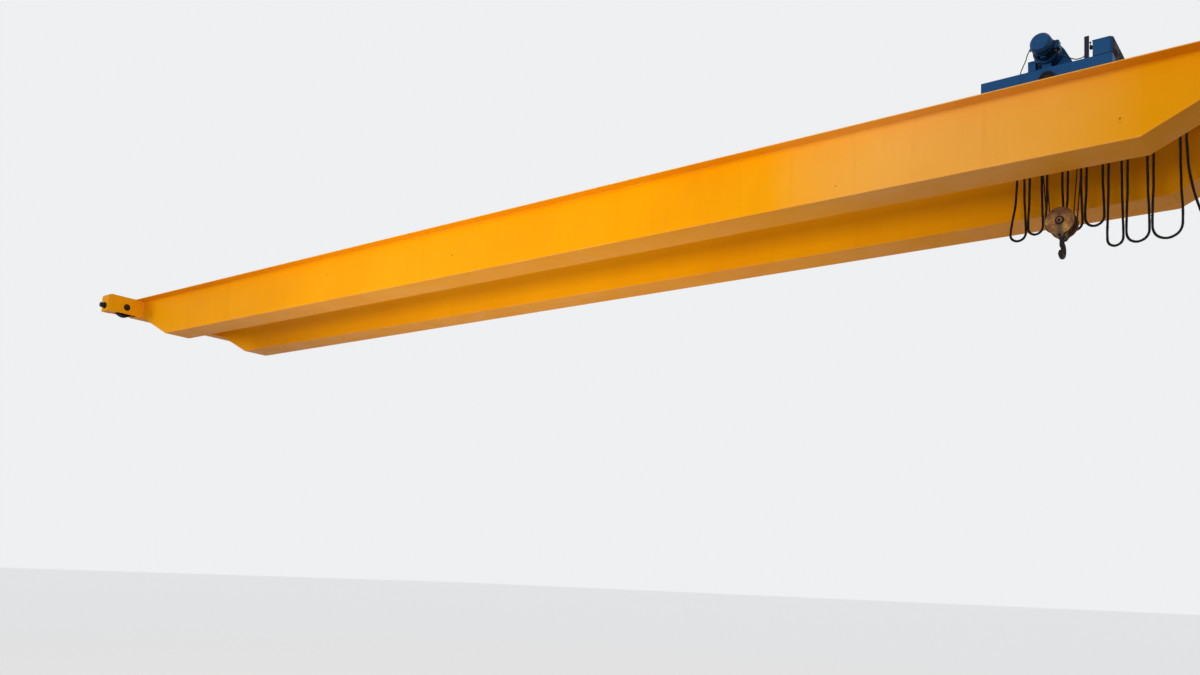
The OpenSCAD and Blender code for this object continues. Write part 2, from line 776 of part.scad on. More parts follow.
// Arm under the left cross beam, with a fork that takes the tow carriage along
module tow_arm() {
    x = CARRIER_X[0];
    fork_z = clamp_z + 68;
    color(blue) {
        slab([x - 60, track_y - 90, fork_z], [x - 48, track_y - 40, beam_z]);
        slab([x - 60, track_y - 90, beam_z - 12], [trolley_x - beam_x + beam_w/2, track_y - 30, beam_z]);
        for (s = [-1, 1])
            slab([x + s*44, track_y - 40, fork_z],
                 [x + s*56, track_y + 20, fork_z + 16]);
        slab([x - 60, track_y - 52, fork_z], [x + 56, track_y - 40, fork_z + 16]);
    }
}

// Straight round bar between two points in an XZ plane
module leaning_bar(xa, za, xb, zb, y, d) {
    translate([xa, y, za]) rotate([0, atan2(xb - xa, zb - za), 0])
        cylinder(d = d, h = norm([xb - xa, zb - za]));
}

// Two falls from the drum and two from the equaliser, down to the block's sheaves
module rope_falls() {
    color(dark)
    for (s = [-1, 1]) {
        leaning_bar(hook_x + sheave_rope_r, block_z, drum_x + drum_rope_r, drum_z, s*fall_y, rope_d);
        leaning_bar(hook_x - sheave_rope_r, block_z, equal_x, equal_z, s*fall_y, rope_d);
    }
}

// Carrying plate: round at the axle and at the crosshead, with straight flanks
module cheek_outline() {
    difference() {
        union() {
            circle(84);
            polygon([[-84, 0], [84, 0], [60, -cross_drop], [-60, -cross_drop]]);
            translate([0, -cross_drop]) circle(60);
        }
        circle(d = block_axle_d + 1);
        translate([0, -cross_drop]) circle(d = trunnion_d + 1);
    }
}

// Round rope guard with a tab below it, where a bolt holds it off the carrying plate
module guard_outline() {
    difference() {
        union() {
            circle(guard_r);
            polygon([[-78, -guard_r + 30], [78, -guard_r + 30], [30, -guard_r - 34], [-30, -guard_r - 34]]);
        }
        circle(d = block_axle_d + 1);
    }
}

// Plate of the block between two distances from its middle
module block_plate(y0, y1) {
    translate([0, y1, 0]) rotate([90, 0, 0]) linear_extrude(y1 - y0) children();
}

module block_cheeks() {
    tie_z = -guard_r - 16;
    plate_low = -cross_drop - 60;
    color(rusty)
    translate([hook_x, 0, block_z]) {
        for (s = [-1, 1]) {
            block_plate(s > 0 ? cheek_in : -cheek_out, s > 0 ? cheek_out : -cheek_in) cheek_outline();
            block_plate(s > 0 ? guard_in : -guard_out, s > 0 ? guard_out : -guard_in) guard_outline();
            bar_y(0, 0, 104, s > 0 ? guard_out : -guard_out - 12, s > 0 ? guard_out + 12 : -guard_out);
            bar_y(0, tie_z, 20, s > 0 ? cheek_out : -guard_out - 8, s > 0 ? guard_out + 8 : -cheek_out);
        }
        bar_y(0, 0, block_axle_d, -guard_out - 20, guard_out + 20);
        block_plate(-cheek_in, cheek_in) difference() {
            circle(d = 96);
            circle(d = block_axle_d + 1);
        }
    }
    color(rusty)
    translate([hook_x, 0, block_z - cross_drop]) difference() {
        union() {
            slab([-56, -cheek_in + 2, -cross_half], [56, cheek_in - 2, cross_half]);
            bar_y(0, 0, trunnion_d, -cheek_out, cheek_out);
        }
        bar_z(0, 0, -60, 120, shank_d + 1);
    }
}

// Grooved sheave about an axis along Y
module sheave(y) {
    r = sheave_rope_r;
    w = sheave_w/2;
    translate([hook_x, y, block_z]) rotate([90, 0, 0])
        rotate_extrude() polygon([
            [block_axle_d/2 + gap, -w], [66, -w], [72, -8], [r - 34, -8], [r - 28, -w + 6],
            [sheave_r, -w + 6], [sheave_r, -w + 8], [r - rope_d/2 + 3 - rope_gap, -7],
            [r - rope_d/2 - rope_gap, 0], [r - rope_d/2 + 3 - rope_gap, 7],
            [sheave_r, w - 8], [sheave_r, w - 6], [r - 28, w - 6],
            [r - 34, 8], [72, 8], [66, w], [block_axle_d/2 + gap, w]]);
}

module block_sheaves() {
    color(steel) {
        sheave(-fall_y);
        sheave(fall_y);
    }
}

// Forged hook in the plane of the sheaves' axle: a shank with its nut above the crosshead, then a
// bowl of round section that ends in a blunt tip
module hook() {
    low = cross_drop + cross_half;
    bowl_z = -low - shank_l - bowl_r + 4;
    tip_angle = -148;
    seat_z = -cross_drop + cross_half + gap;
    color(dark)
    translate([hook_x, 0, block_z]) {
        bar_z(0, 0, -low - shank_l + 20, seat_z + 52 + low + shank_l - 20, shank_d);
        bar_z(0, 0, seat_z, 12, 84);
        translate([0, 0, seat_z + 12]) cylinder(d = 80, h = 34, $fn = 6);
        bar_z(0, 0, -low - gap - 14, 14, 88);
        translate([0, 0, -low - gap - 44]) cylinder(d1 = shank_d + 2, d2 = 86, h = 30);
        translate([0, 0, -low - shank_l - 24]) cylinder(d1 = hook_t - 8, d2 = shank_d + 6, h = 60);
        translate([0, 0, bowl_z]) rotate([90, 0, 90]) {
            rotate(tip_angle) rotate_extrude(angle = 238) translate([bowl_r, 0]) circle(d = hook_t);
            rotate(tip_angle) translate([bowl_r, 2, 0]) rotate([90, 0, 0])
                cylinder(d1 = hook_t - 2, d2 = hook_t/2, h = hook_t/2);
        }
    }
}

top_flange(-1);  // near_top_flange
bottom_flange(-1);  // near_bottom_flange
web(-girder_y - girder_width/2);  // near_outer_web
web(-girder_y + girder_width/2 - web_t);  // near_inner_web
top_flange(1);  // far_top_flange
bottom_flange(1);  // far_bottom_flange
web(girder_y + girder_width/2 - web_t);  // far_outer_web
web(girder_y - girder_width/2);  // far_inner_web
girder_end_plates();
diaphragms();
trolley_rails();
rail_stops();
left_end_truck();
right_end_truck();
bridge_wheels();
buffers();
travel_drives();
festoon_track();
festoon_brackets();
festoon_cable();
tow_carriage();
carrier_1();
carrier_2();
carrier_3();
carrier_4();
carrier_5();
carrier_6();
carrier_7();
carrier_8();
trolley_near_side();
trolley_far_side();
trolley_cross_beams();
trolley_wheels();
rope_drum();
hoist_gearbox();
hoist_motor();
trolley_drive();
control_box();
limit_post();
equaliser();
tow_arm();
rope_falls();
block_cheeks();
block_sheaves();
hook();
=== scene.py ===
# Overhead bridge crane: finishes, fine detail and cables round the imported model
import json
import math
import bmesh
import bpy
from mathutils import Matrix, Vector


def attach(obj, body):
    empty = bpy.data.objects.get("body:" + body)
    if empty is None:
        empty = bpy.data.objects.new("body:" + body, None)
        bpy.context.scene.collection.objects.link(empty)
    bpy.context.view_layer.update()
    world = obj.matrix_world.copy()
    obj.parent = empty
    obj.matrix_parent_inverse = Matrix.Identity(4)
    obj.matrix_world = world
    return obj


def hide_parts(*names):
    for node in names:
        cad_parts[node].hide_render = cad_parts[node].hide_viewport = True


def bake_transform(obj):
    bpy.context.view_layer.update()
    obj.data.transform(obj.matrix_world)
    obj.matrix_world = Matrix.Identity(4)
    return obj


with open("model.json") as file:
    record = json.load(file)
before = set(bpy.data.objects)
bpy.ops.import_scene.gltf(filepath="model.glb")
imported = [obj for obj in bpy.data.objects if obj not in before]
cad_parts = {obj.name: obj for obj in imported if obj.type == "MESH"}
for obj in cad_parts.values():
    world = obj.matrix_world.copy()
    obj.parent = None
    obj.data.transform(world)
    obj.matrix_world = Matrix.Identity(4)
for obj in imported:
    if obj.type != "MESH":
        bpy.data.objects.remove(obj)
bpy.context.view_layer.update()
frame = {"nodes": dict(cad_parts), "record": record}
cadNodes = frame["nodes"]
scene = bpy.context.scene
print("frame loaded:", len(cadNodes), "nodes")


# short ways to build a tree of nodes

class Nodes:
    def __init__(self, tree):
        self.tree = tree

    def wire(self, value, socket):
        if isinstance(value, bpy.types.NodeSocket):
            self.tree.links.new(value, socket)
        else:
            socket.default_value = value

    def add(self, kind, wires=(), output=0, **settings):
        node = self.tree.nodes.new(kind)
        for key, value in settings.items():
            setattr(node, key, value)
        for label, value in dict(wires).items():
            self.wire(value, node.inputs[label])
        return node.outputs[output]

    def maths(self, operation, a, b=0.0):
        return self.add("ShaderNodeMath", {0: a, 1: b}, operation=operation)

    def times(self, a, b):
        return self.maths("MULTIPLY", a, b)


def srgb(red, green, blue):
    # a colour as a screen shows it, from 0 to 255, turned to the linear values of a shader
    parts = [c / 255 for c in (red, green, blue)]
    return [c / 12.92 if c <= 0.04045 else ((c + 0.055) / 1.055) ** 2.4 for c in parts] + [1.0]


class Finish(Nodes):
    # a material whose patterns lie on Object coordinates
    def __init__(self, name, roughness=0.5, metallic=0.0, specular=0.5):
        self.material = bpy.data.materials.new(name)
        self.material.use_nodes = True
        super().__init__(self.material.node_tree)
        self.shader = self.tree.nodes["Principled BSDF"]
        self.shader.inputs["Roughness"].default_value = roughness
        self.shader.inputs["Metallic"].default_value = metallic
        self.shader.inputs["Specular IOR Level"].default_value = specular
        self.place = self.add("ShaderNodeTexCoord", output="Object")

    def stretched(self, x, y, z):
        return self.add("ShaderNodeMapping", {"Vector": self.place, "Scale": (x, y, z)})

    def noise(self, scale, detail=3.0, rough=0.55, place=None):
        return self.add("ShaderNodeTexNoise", {
            "Vector": place or self.place, "Scale": scale, "Detail": detail, "Roughness": rough}, "Fac")

    def band(self, value, low, high, toLow=0.0, toHigh=1.0):
        return self.add("ShaderNodeMapRange", {
            "Value": value, "From Min": low, "From Max": high, "To Min": toLow, "To Max": toHigh}, "Result")

    def patches(self, scale, detail, low, high, toLow=0.0, toHigh=1.0):
        return self.band(self.noise(scale, detail), low, high, toLow, toHigh)

    def blend(self, factor, first, second):
        # a colour of three values is one that a screen shows
        first, second = (srgb(*c) if isinstance(c, tuple) and len(c) == 3 else c for c in (first, second))
        return self.add("ShaderNodeMix", {0: factor, 6: first, 7: second}, 2, data_type="RGBA")

    def normal(self):
        return self.add("ShaderNodeNewGeometry", output="Normal")

    def facing(self, axis):
        return self.add("ShaderNodeSeparateXYZ", {0: self.normal()}, axis)

    def along(self, axis):
        return self.add("ShaderNodeSeparateXYZ", {0: self.place}, axis)

    def awayFrom(self, value, middle):
        return self.maths("ABSOLUTE", self.maths("SUBTRACT", value, middle))

    def near(self, place):
        # metres from a place on the object
        return self.add("ShaderNodeVectorMath", {0: self.place, 1: place}, "Value", operation="DISTANCE")

    def bump(self, height, distance, strength=1.0, under=None):
        wires = {"Height": height, "Distance": distance, "Strength": strength}
        if under:
            wires["Normal"] = under
        return self.add("ShaderNodeBump", wires, "Normal")

    def ribMarks(self, first, pitch, width):
        # the faint lines that a web shows where its diaphragms are welded behind it
        shifted = self.times(self.maths("SUBTRACT", self.along("X"), first), 1 / pitch)
        offset = self.maths("FRACT", self.maths("ADD", shifted, 0.5))
        return self.band(self.times(self.awayFrom(offset, 0.5), pitch), 0.0, width, 1.0, 0.0)

    def edges(self, radius):
        # how far a rounded corner leans from its flat face, which marks the edges that wear first
        rounded = self.add("ShaderNodeBevel", {"Radius": radius}, "Normal", samples=4)
        flat = self.normal()
        lean = self.add("ShaderNodeVectorMath", {0: rounded, 1: flat}, "Value", operation="DOT_PRODUCT")
        return self.band(lean, 0.995, 0.86)

    def finish(self, tone, rough, normal):
        for label, value in (("Base Color", tone), ("Roughness", rough), ("Normal", normal)):
            self.wire(value, self.shader.inputs[label])
        return self.material


# camera, floor and light

cameraView = {
    "place": (23.604, -14.188, -5.728), "heading": -37.295,  # degrees from +Y, towards +X
    "tilt": 5.193, "roll": 2.228, "lens": 31.73, "shiftUp": 0.1228, "farthest": 500,
}


def placeCamera(look):
    heading, tilt, roll = (math.radians(look[k]) for k in ("heading", "tilt", "roll"))
    ahead = Vector((math.sin(heading) * math.cos(tilt), math.cos(heading) * math.cos(tilt), math.sin(tilt)))
    level = Vector((math.cos(heading), -math.sin(heading), 0))
    upright = level.cross(ahead)
    right = level * math.cos(roll) + upright * math.sin(roll)
    up = upright * math.cos(roll) - level * math.sin(roll)
    data = bpy.data.cameras.new("camera")
    data.lens = look["lens"]
    data.shift_y = look["shiftUp"]
    data.clip_end = look["farthest"]
    camera = bpy.data.objects.new("camera", data)
    turn = Matrix((right, up, -ahead)).transposed().to_4x4()
    camera.matrix_world = Matrix.Translation(look["place"]) @ turn
    scene.collection.objects.link(camera)
    scene.camera = camera


studio = {
    "floorHeight": -7.6, "floorSize": 400.0, "floorMiddle": 11, "floorRough": 0.9, "floorSpecular": 0.1,
    "pale": (0.86, 0.87, 0.88, 1), "floorSeen": (0.44, 0.445, 0.45, 1), "floorShade": (0.56, 0.48, 0.36, 1),
    "floorGlow": 0.56, "ambient": 0.42, "sunSoftness": 18.0,
    "suns": [("sun", 1.05, (-0.42, -0.80, 0.10)), ("backSun", 0.8, (-0.30, 0.85, 0.40))],
    # soft panels: name, place, aim, size, spread, power
    "panels": [("lowPanel", (11.0, -15.0, -3.2), (11.5, 0.0, 0.6), (14.0, 3.0), 95, 350.0),
               ("underPanel", (10.5, -3.4, -6.2), (10.5, 0.9, 0.0), (12.0, 1.5), 90, 105.0)],
    # a soft spot for the faces of the left end truck, which the others pass by
    "spotPlace": (14.0, -6.0, -3.5), "spotAim": (0.0, -1.9, 0.2), "spotPower": 2300.0, "spotCone": 16.0,
}


def seenOrMirrored(nodes):
    # one for camera, glossy and transmission rays, so that metal mirrors the pale studio too
    rays = nodes.add("ShaderNodeLightPath").node.outputs
    mirrored = nodes.maths("MAXIMUM", rays["Is Glossy Ray"], rays["Is Transmission Ray"])
    return nodes.maths("MAXIMUM", rays["Is Camera Ray"], mirrored)


def hangLamp(kind, name, power, place, back, **settings):
    data = bpy.data.lights.new(name, kind)
    data.energy = power
    for key, value in settings.items():
        setattr(data, key, value)
    lamp = bpy.data.objects.new(name, data)
    lamp.rotation_mode = "QUATERNION"
    lamp.rotation_quaternion = back.to_track_quat("Z", "Y")
    lamp.location = place
    lamp.visible_camera = False
    lamp.visible_glossy = False
    scene.collection.objects.link(lamp)


def buildStudio(look):
    world = bpy.data.worlds.new("studio")
    scene.world = world
    world.use_nodes = True
    sky = Nodes(world.node_tree)
    soft = world.node_tree.nodes["Background"]
    soft.inputs["Color"].default_value = (1, 1, 1, 1)
    soft.inputs["Strength"].default_value = look["ambient"]
    backdrop = sky.add("ShaderNodeBackground", {"Color": look["pale"], "Strength": 1.0})
    mixed = sky.add("ShaderNodeMixShader", {0: seenOrMirrored(sky), 1: soft.outputs[0], 2: backdrop})
    sky.wire(mixed, world.node_tree.nodes["World Output"].inputs[0])

    half, middle, height = look["floorSize"] / 2, look["floorMiddle"], look["floorHeight"]
    corners = [(x * half + middle, y * half, height) for x, y in ((-1, -1), (1, -1), (1, 1), (-1, 1))]
    mesh = bpy.data.meshes.new("floor")
    mesh.from_pydata(corners, [], [(0, 1, 2, 3)])
    floor = bpy.data.objects.new("floor", mesh)
    scene.collection.objects.link(floor)
    paint = Finish("floorPaint", roughness=look["floorRough"], specular=look["floorSpecular"])
    seen = seenOrMirrored(paint)
    paint.wire(paint.blend(seen, look["floorShade"], look["floorSeen"]), paint.shader.inputs["Base Color"])
    paint.wire(paint.times(seen, look["floorGlow"]), paint.shader.inputs["Emission Strength"])
    paint.shader.inputs["Emission Color"].default_value = look["pale"]
    mesh.materials.append(paint.material)

    for name, power, source in look["suns"]:
        hangLamp("SUN", name, power, (0, 0, 0), Vector(source), angle=math.radians(look["sunSoftness"]))
    for name, place, aim, size, spread, power in look["panels"]:
        hangLamp("AREA", name, power, place, Vector(place) - Vector(aim), shape="RECTANGLE",
                 size=size[0], size_y=size[1], spread=math.radians(spread))
    place = look["spotPlace"]
    hangLamp("SPOT", "truckSpot", look["spotPower"], place, Vector(place) - Vector(look["spotAim"]),
             spot_size=math.radians(look["spotCone"]), spot_blend=1.0, shadow_soft_size=0.5)
    scene.view_settings.view_transform = "Standard"


placeCamera(cameraView)
buildStudio(studio)
print("camera and studio ready")


# finishes

def brushPaint(name, look):
    # workshop paint: soft tone changes, a painted sheen of large lighter patches, a painted reflection in
    # pale patches round given places, runs of dirt, dust on what faces up, painted shade on what faces down,
    # and plate waviness
    f = Finish(name, specular=look["specular"])
    tone = f.blend(f.patches(0.55, 4, 0.36, 0.66), look["colour"], look["tone"])
    # painted sheen: large soft patches lighter towards a paler colour, standing in for reflected light
    tone = f.blend(f.patches(0.16, 2, 0.42, 0.66, 0, look["paintedSheen"]), tone, look["paintedSheenColour"])
    # painted reflection: pale patches round given places, with a grainy texture
    for place, reach, core, amount in look["paintedReflection"]:
        reflectionPatch = f.patches(0.9, 3, 0.30, 0.62, 0.75, 1.0)
        reflectionPatch = f.times(f.band(f.near(place), reach, core, 0, amount), reflectionPatch)
        tone = f.blend(reflectionPatch, tone, look["paintedReflectionColour"])
    runs = f.band(f.noise(1.0, 7, 0.6, f.stretched(5.5, 5.5, 0.45)), 0.56, 0.80, 0, look["streaks"])
    tone = f.blend(runs, tone, look["dirtAndShade"])
    marks = f.times(f.band(f.noise(9, 8, 0.7), 0.66, 0.74), f.patches(0.8, 2, 0.50, 0.66))
    tone = f.blend(f.times(marks, look["marks"]), tone, look["dirtAndShade"])
    up = f.times(f.band(f.facing("Z"), 0.5, 0.95), f.patches(2.2, 6, 0.30, 0.75, 0.35, 1.0))
    tone = f.blend(f.times(up, look["dust"]), tone, look["dustColour"])
    # painted shade: faces that point down are darkened towards the dark colour also used for dirt
    below = f.times(f.band(f.facing("Z"), -0.15, -0.85), f.patches(3.5, 5, 0.25, 0.6, 0.7, 1.0))
    tone = f.blend(f.times(below, look["under"]), tone, look["dirtAndShade"])
    worn = f.times(f.edges(look["edgeWidth"]), f.band(f.noise(7, 6, 0.7), 0.40, 0.62, 0, look["edgeWear"]))
    tone = f.blend(worn, tone, look["bare"])
    for place, radius in look["chips"]:
        ragged = f.times(f.near(place), f.patches(60, 4, 0.2, 0.8, 0.6, 1.5))
        tone = f.blend(f.band(ragged, radius, radius * 0.5, 0, 0.85), tone, look["dirtAndShade"])
    rough = f.patches(3.0, 5, 0.3, 0.7, look["gloss"] - 0.05, look["gloss"] + 0.09)
    rough = f.maths("ADD", rough, f.times(up, 0.3))
    skin = f.bump(f.noise(look["waveScale"], 1.0), look["waves"])
    if look["ribPitch"]:
        skin = f.bump(f.ribMarks(look["ribFirst"], look["ribPitch"], 0.05), 0.0025, 0.7, skin)
    return f.finish(tone, rough, f.bump(f.noise(260, 2), 0.0004, 0.6, skin))


def steel(name, look):
    # rolled or machined steel: fine drawn lines, stains and a little rust
    f = Finish(name, metallic=look.get("metal", 0.9), specular=look.get("specular", 0.5))
    lines = f.noise(1.0, 4, 0.6, f.stretched(*look["lines"]))
    tone = f.blend(f.band(lines, 0.35, 0.65), look["colour"], look["tone"])
    rust = f.band(f.noise(look["rustScale"], 8, 0.65), 0.48, 0.66, 0, look["rust"])
    tone = f.blend(rust, tone, look["rustColour"])
    rough = f.band(lines, 0.3, 0.7, look["rough"] - 0.07, look["rough"] + 0.08)
    return f.finish(tone, f.maths("ADD", rough, f.times(rust, 0.3)), f.bump(lines, 0.0006, 0.5))


def rubber(name, look):
    f = Finish(name, specular=0.2)
    tone = f.blend(f.patches(look["scale"], 5, 0.38, 0.68), look["colour"], look["tone"])
    rough = f.patches(look["scale"] * 2, 4, 0.3, 0.7, look["rough"] - 0.08, look["rough"] + 0.1)
    return f.finish(tone, rough, f.bump(f.noise(look["scale"] * 30, 3), 0.0003, 0.5))


def wornBlockPaint(name, look):
    # old paint rubbed through to rust, darker above the axle, and smeared with grease below it
    f = Finish(name)
    middle = look["middle"]
    rusted = f.band(f.noise(7.5, 7, 0.62), 0.42, 0.60)
    tone = f.blend(rusted, look["paint"], look["rust"])
    upper = f.maths("ADD", f.along("Z"), f.times(f.noise(9, 4), 0.10))
    tone = f.blend(f.band(upper, middle + 0.05, middle + 0.17, 0, 0.85), tone, look["grime"])
    tone = f.blend(f.band(f.noise(38, 6, 0.7), 0.52, 0.66, 0, 0.6), tone, look["bare"])
    across = f.awayFrom(f.along("X"), look["axleX"])
    smear = f.times(f.band(across, 0.07, 0.02), f.band(f.along("Z"), middle, middle - 0.04))
    tone = f.blend(f.times(smear, 0.8), tone, look["grease"])
    tone = f.blend(f.times(f.edges(0.004), 0.7), tone, look["bare"])
    return f.finish(tone, f.band(rusted, 0, 1, 0.45, 0.78), f.bump(f.noise(60, 6), 0.0012, 0.6))


girderLook = {
    "colour": (238, 158, 0), "tone": (232, 150, 0), "dirtAndShade": (120, 66, 16), "streaks": 0.07, "marks": 0.30,
    "paintedSheen": 0.25, "paintedSheenColour": (240, 167, 20), "dust": 0.55, "dustColour": (150, 120, 84), "gloss": 0.42,
    "specular": 0.07, "waves": 0.035, "waveScale": 0.9, "ribFirst": 1.164, "ribPitch": 1.681,
    "edgeWidth": 0.010, "edgeWear": 0.55, "bare": (226, 190, 128), "under": 0.0,
    # painted reflection, a pale grainy patch: middle, reach, core, amount
    "paintedReflection": [((19.0, -4.0, 0.1), 3.6, 2.75, 0.29)], "paintedReflectionColour": (244, 197, 132),
    "chips": [((0.25, -1.35, 0.230), 0.020), ((21.131, -1.35, -0.202), 0.017),
              ((21.131, -1.35, -0.245), 0.010), ((13.21, -1.35, -0.05), 0.010),
              ((10.35, -1.35, -0.10), 0.018), ((6.90, -1.35, 0.06), 0.014), ((17.62, -1.35, -0.30), 0.012)],
}
trolleyLook = {
    "colour": (28, 78, 128), "tone": (20, 64, 112), "dirtAndShade": (16, 26, 42), "streaks": 0.35, "marks": 0.5,
    "paintedSheen": 0.2, "paintedSheenColour": (52, 104, 156), "dust": 0.5, "dustColour": (96, 102, 108), "gloss": 0.45,
    "specular": 0.14, "waves": 0.004, "waveScale": 4.0, "ribPitch": 0, "edgeWidth": 0.004, "edgeWear": 0.5,
    "bare": (92, 104, 118), "under": 0.7, "chips": [], "paintedReflection": [],
}
postLook = {
    **trolleyLook, "colour": (50, 46, 62), "tone": (40, 37, 52), "paintedSheenColour": (60, 56, 72), "specular": 0.02,
    "bare": (70, 66, 80), "dustColour": (74, 72, 78),
}
finishes = {
    "yellow_paint": brushPaint("girderYellow", girderLook),
    "blue_paint": brushPaint("trolleyBlue", trolleyLook),
    "post_paint": brushPaint("postGrey", postLook),
    "rail_steel": steel("railSteel", {
        "colour": (128, 124, 120), "tone": (96, 92, 88), "lines": (0.6, 30, 30), "rustScale": 1.6,
        "rust": 0.85, "rustColour": (96, 62, 40), "rough": 0.42}),
    "track_steel": steel("zincTrack", {
        "colour": (158, 160, 162), "tone": (132, 134, 138), "lines": (3, 30, 30), "rustScale": 3, "rust": 0.3,
        "rustColour": (110, 96, 84), "rough": 0.45}),
    "drum_steel": steel("drumSteel", {
        "colour": (112, 88, 70), "tone": (84, 64, 52), "lines": (20, 60, 20), "rustScale": 5, "rust": 0.8,
        "rustColour": (104, 66, 42), "rough": 0.5, "metal": 0.5}),
    "wheel_iron": steel("wheelIron", {
        "colour": (58, 54, 52), "tone": (40, 37, 36), "lines": (14, 14, 14), "rustScale": 7, "rust": 0.7,
        "rustColour": (70, 44, 30), "rough": 0.55}),
    "rope_steel": steel("ropeSteel", {
        "colour": (50, 31, 23), "tone": (32, 20, 16), "lines": (60, 60, 60), "rustScale": 12, "rust": 0.6,
        "rustColour": (62, 32, 20), "rough": 0.6, "metal": 0.2, "specular": 0.3}),
    "hook_steel": steel("hookSteel", {
        "colour": (36, 32, 33), "tone": (22, 20, 21), "lines": (18, 18, 18), "rustScale": 9, "rust": 0.45,
        "rustColour": (46, 30, 24), "rough": 0.55, "metal": 0.0, "specular": 0.25}),
    "buffer_rubber": rubber("bufferRubber", {
        "colour": (26, 25, 25), "tone": (38, 37, 37), "scale": 14, "rough": 0.75}),
    "cable_sheath": rubber("cableSheath", {
        "colour": (16, 15, 17), "tone": (28, 27, 29), "scale": 8, "rough": 0.5}),
    "carrier_plastic": rubber("carrierBlack", {
        "colour": (24, 24, 26), "tone": (36, 36, 38), "scale": 18, "rough": 0.5}),
    "block_paint": wornBlockPaint("blockPaint", {
        "paint": (176, 138, 72), "rust": (120, 78, 48), "bare": (66, 44, 38), "grime": (78, 38, 32),
        "grease": (44, 32, 34), "middle": -0.865, "axleX": 20.175}),
}
slotOf = {row["node"]: row["material_slot"] for row in frame["record"]["subparts"]}
for nodeName, node in cadNodes.items():
    node.data.materials.clear()
    node.data.materials.append(finishes[slotOf[nodeName]])
print("finishes on", len(cadNodes), "nodes")


# shapes made from points

def plainMesh(name, vertices, edges=(), faces=()):
    mesh = bpy.data.meshes.new(name)
    mesh.from_pydata(vertices, edges, faces)
    return mesh


def aimedPoints(rows):
    # points that know which way they face and how large they are: (place, aim, size)
    mesh = plainMesh("points", [row[0] for row in rows])
    aim = mesh.attributes.new("aim", "FLOAT_VECTOR", "POINT")
    aim.data.foreach_set("vector", [c for row in rows for c in row[1]])
    size = mesh.attributes.new("size", "FLOAT", "POINT")
    size.data.foreach_set("value", [row[2] for row in rows])
    return mesh


def lineMesh(lines):
    vertices, edges = [], []
    for line in lines:
        edges += [(len(vertices) + i, len(vertices) + i + 1) for i in range(len(line) - 1)]
        vertices += line
    return plainMesh("lines", vertices, edges)


def squareTo(axis):
    # the axis at length one, and two directions square to it
    axis = Vector(axis).normalized()
    side = axis.orthogonal().normalized()
    return axis, side, axis.cross(side)


def swung(side, other, turn):
    # a direction turned from one towards another that is square to it
    return side * math.cos(turn) + other * math.sin(turn)


def ringRows(centre, axis, radius, count, size, start=0.0):
    # bolts evenly round a circle, all facing along its axis
    axis, side, other = squareTo(axis)
    turns = [2 * math.pi * (k + start) / count for k in range(count)]
    return [(Vector(centre) + swung(side, other, turn) * radius, axis, size) for turn in turns]


def circleLine(centre, axis, radius, steps=28):
    line = [row[0] for row in ringRows(centre, axis, radius, steps, 1)]
    return line + line[:1]


def cowlWires(centre, axis, across, radii, reach):
    # the rings of a fan cowl's grille, and three bars across them
    wires = [circleLine(centre, axis, radius) for radius in radii]
    for k in range(3):
        bar = swung(Vector(across), Vector((0, 0, 1)), math.pi * k / 3) * reach
        wires.append([Vector(centre) - bar, Vector(centre) + bar])
    return wires


def turned(profile, centre, axis, sides=36):
    # spins (radius, height) pairs about an axis, from its foot round to its top
    axis, side, other = squareTo(axis)
    vertices, rings, faces = [], [], []
    for radius, height in profile:
        count = sides if radius > 1e-6 else 1
        rings.append([len(vertices) + k for k in range(count)])
        for k in range(count):
            out = swung(side, other, 2 * math.pi * k / sides) * radius
            vertices.append(Vector(centre) + axis * height + out)
    for a, b in zip(rings, rings[1:]):
        for k in range(sides):
            n = (k + 1) % sides
            corners = [a[k % len(a)], a[n % len(a)], b[n % len(b)], b[k % len(b)]]
            faces.append(tuple(dict.fromkeys(corners)))
    return plainMesh("turned", vertices, [], [f for f in faces if len(f) > 2])


def softBox(low, high, edge):
    # a pressed or cast block with rounded edges
    form = bmesh.new()
    bmesh.ops.create_cube(form, size=1)
    middle = (Vector(low) + Vector(high)) / 2
    size = Vector(high) - Vector(low)
    for v in form.verts:
        v.co = v.co * size + middle
    bmesh.ops.bevel(form, geom=form.edges[:], offset=edge, segments=2, profile=0.5, affect="EDGES")
    mesh = bpy.data.meshes.new("block")
    form.to_mesh(mesh)
    form.free()
    return mesh


def smoothLine(points, steps):
    # a spline through the points, even in its own pace
    line = []
    for i, (a, b) in enumerate(zip(points, points[1:])):
        before = points[max(0, i - 1)]
        after = points[min(len(points) - 1, i + 2)]
        span = (b - a).length
        slopeA = (b - before) / (span + (a - before).length) if i else (b - a) / span
        slopeB = (after - a) / ((after - b).length + span) if i < len(points) - 2 else (b - a) / span
        for k in range(steps):
            t = k / steps
            line.append(a * (2 * t**3 - 3 * t**2 + 1) + slopeA * span * (t**3 - 2 * t**2 + t)
                        + b * (3 * t**2 - 2 * t**3) + slopeB * span * (t**3 - t**2))
    return line + points[-1:]


def lineLength(line):
    return sum((b - a).length for a, b in zip(line, line[1:]))


def roundProfile(diameter, sides):
    turns = [2 * math.pi * k / sides for k in range(sides)]
    return [(math.cos(t) * diameter / 2, math.sin(t) * diameter / 2) for t in turns]


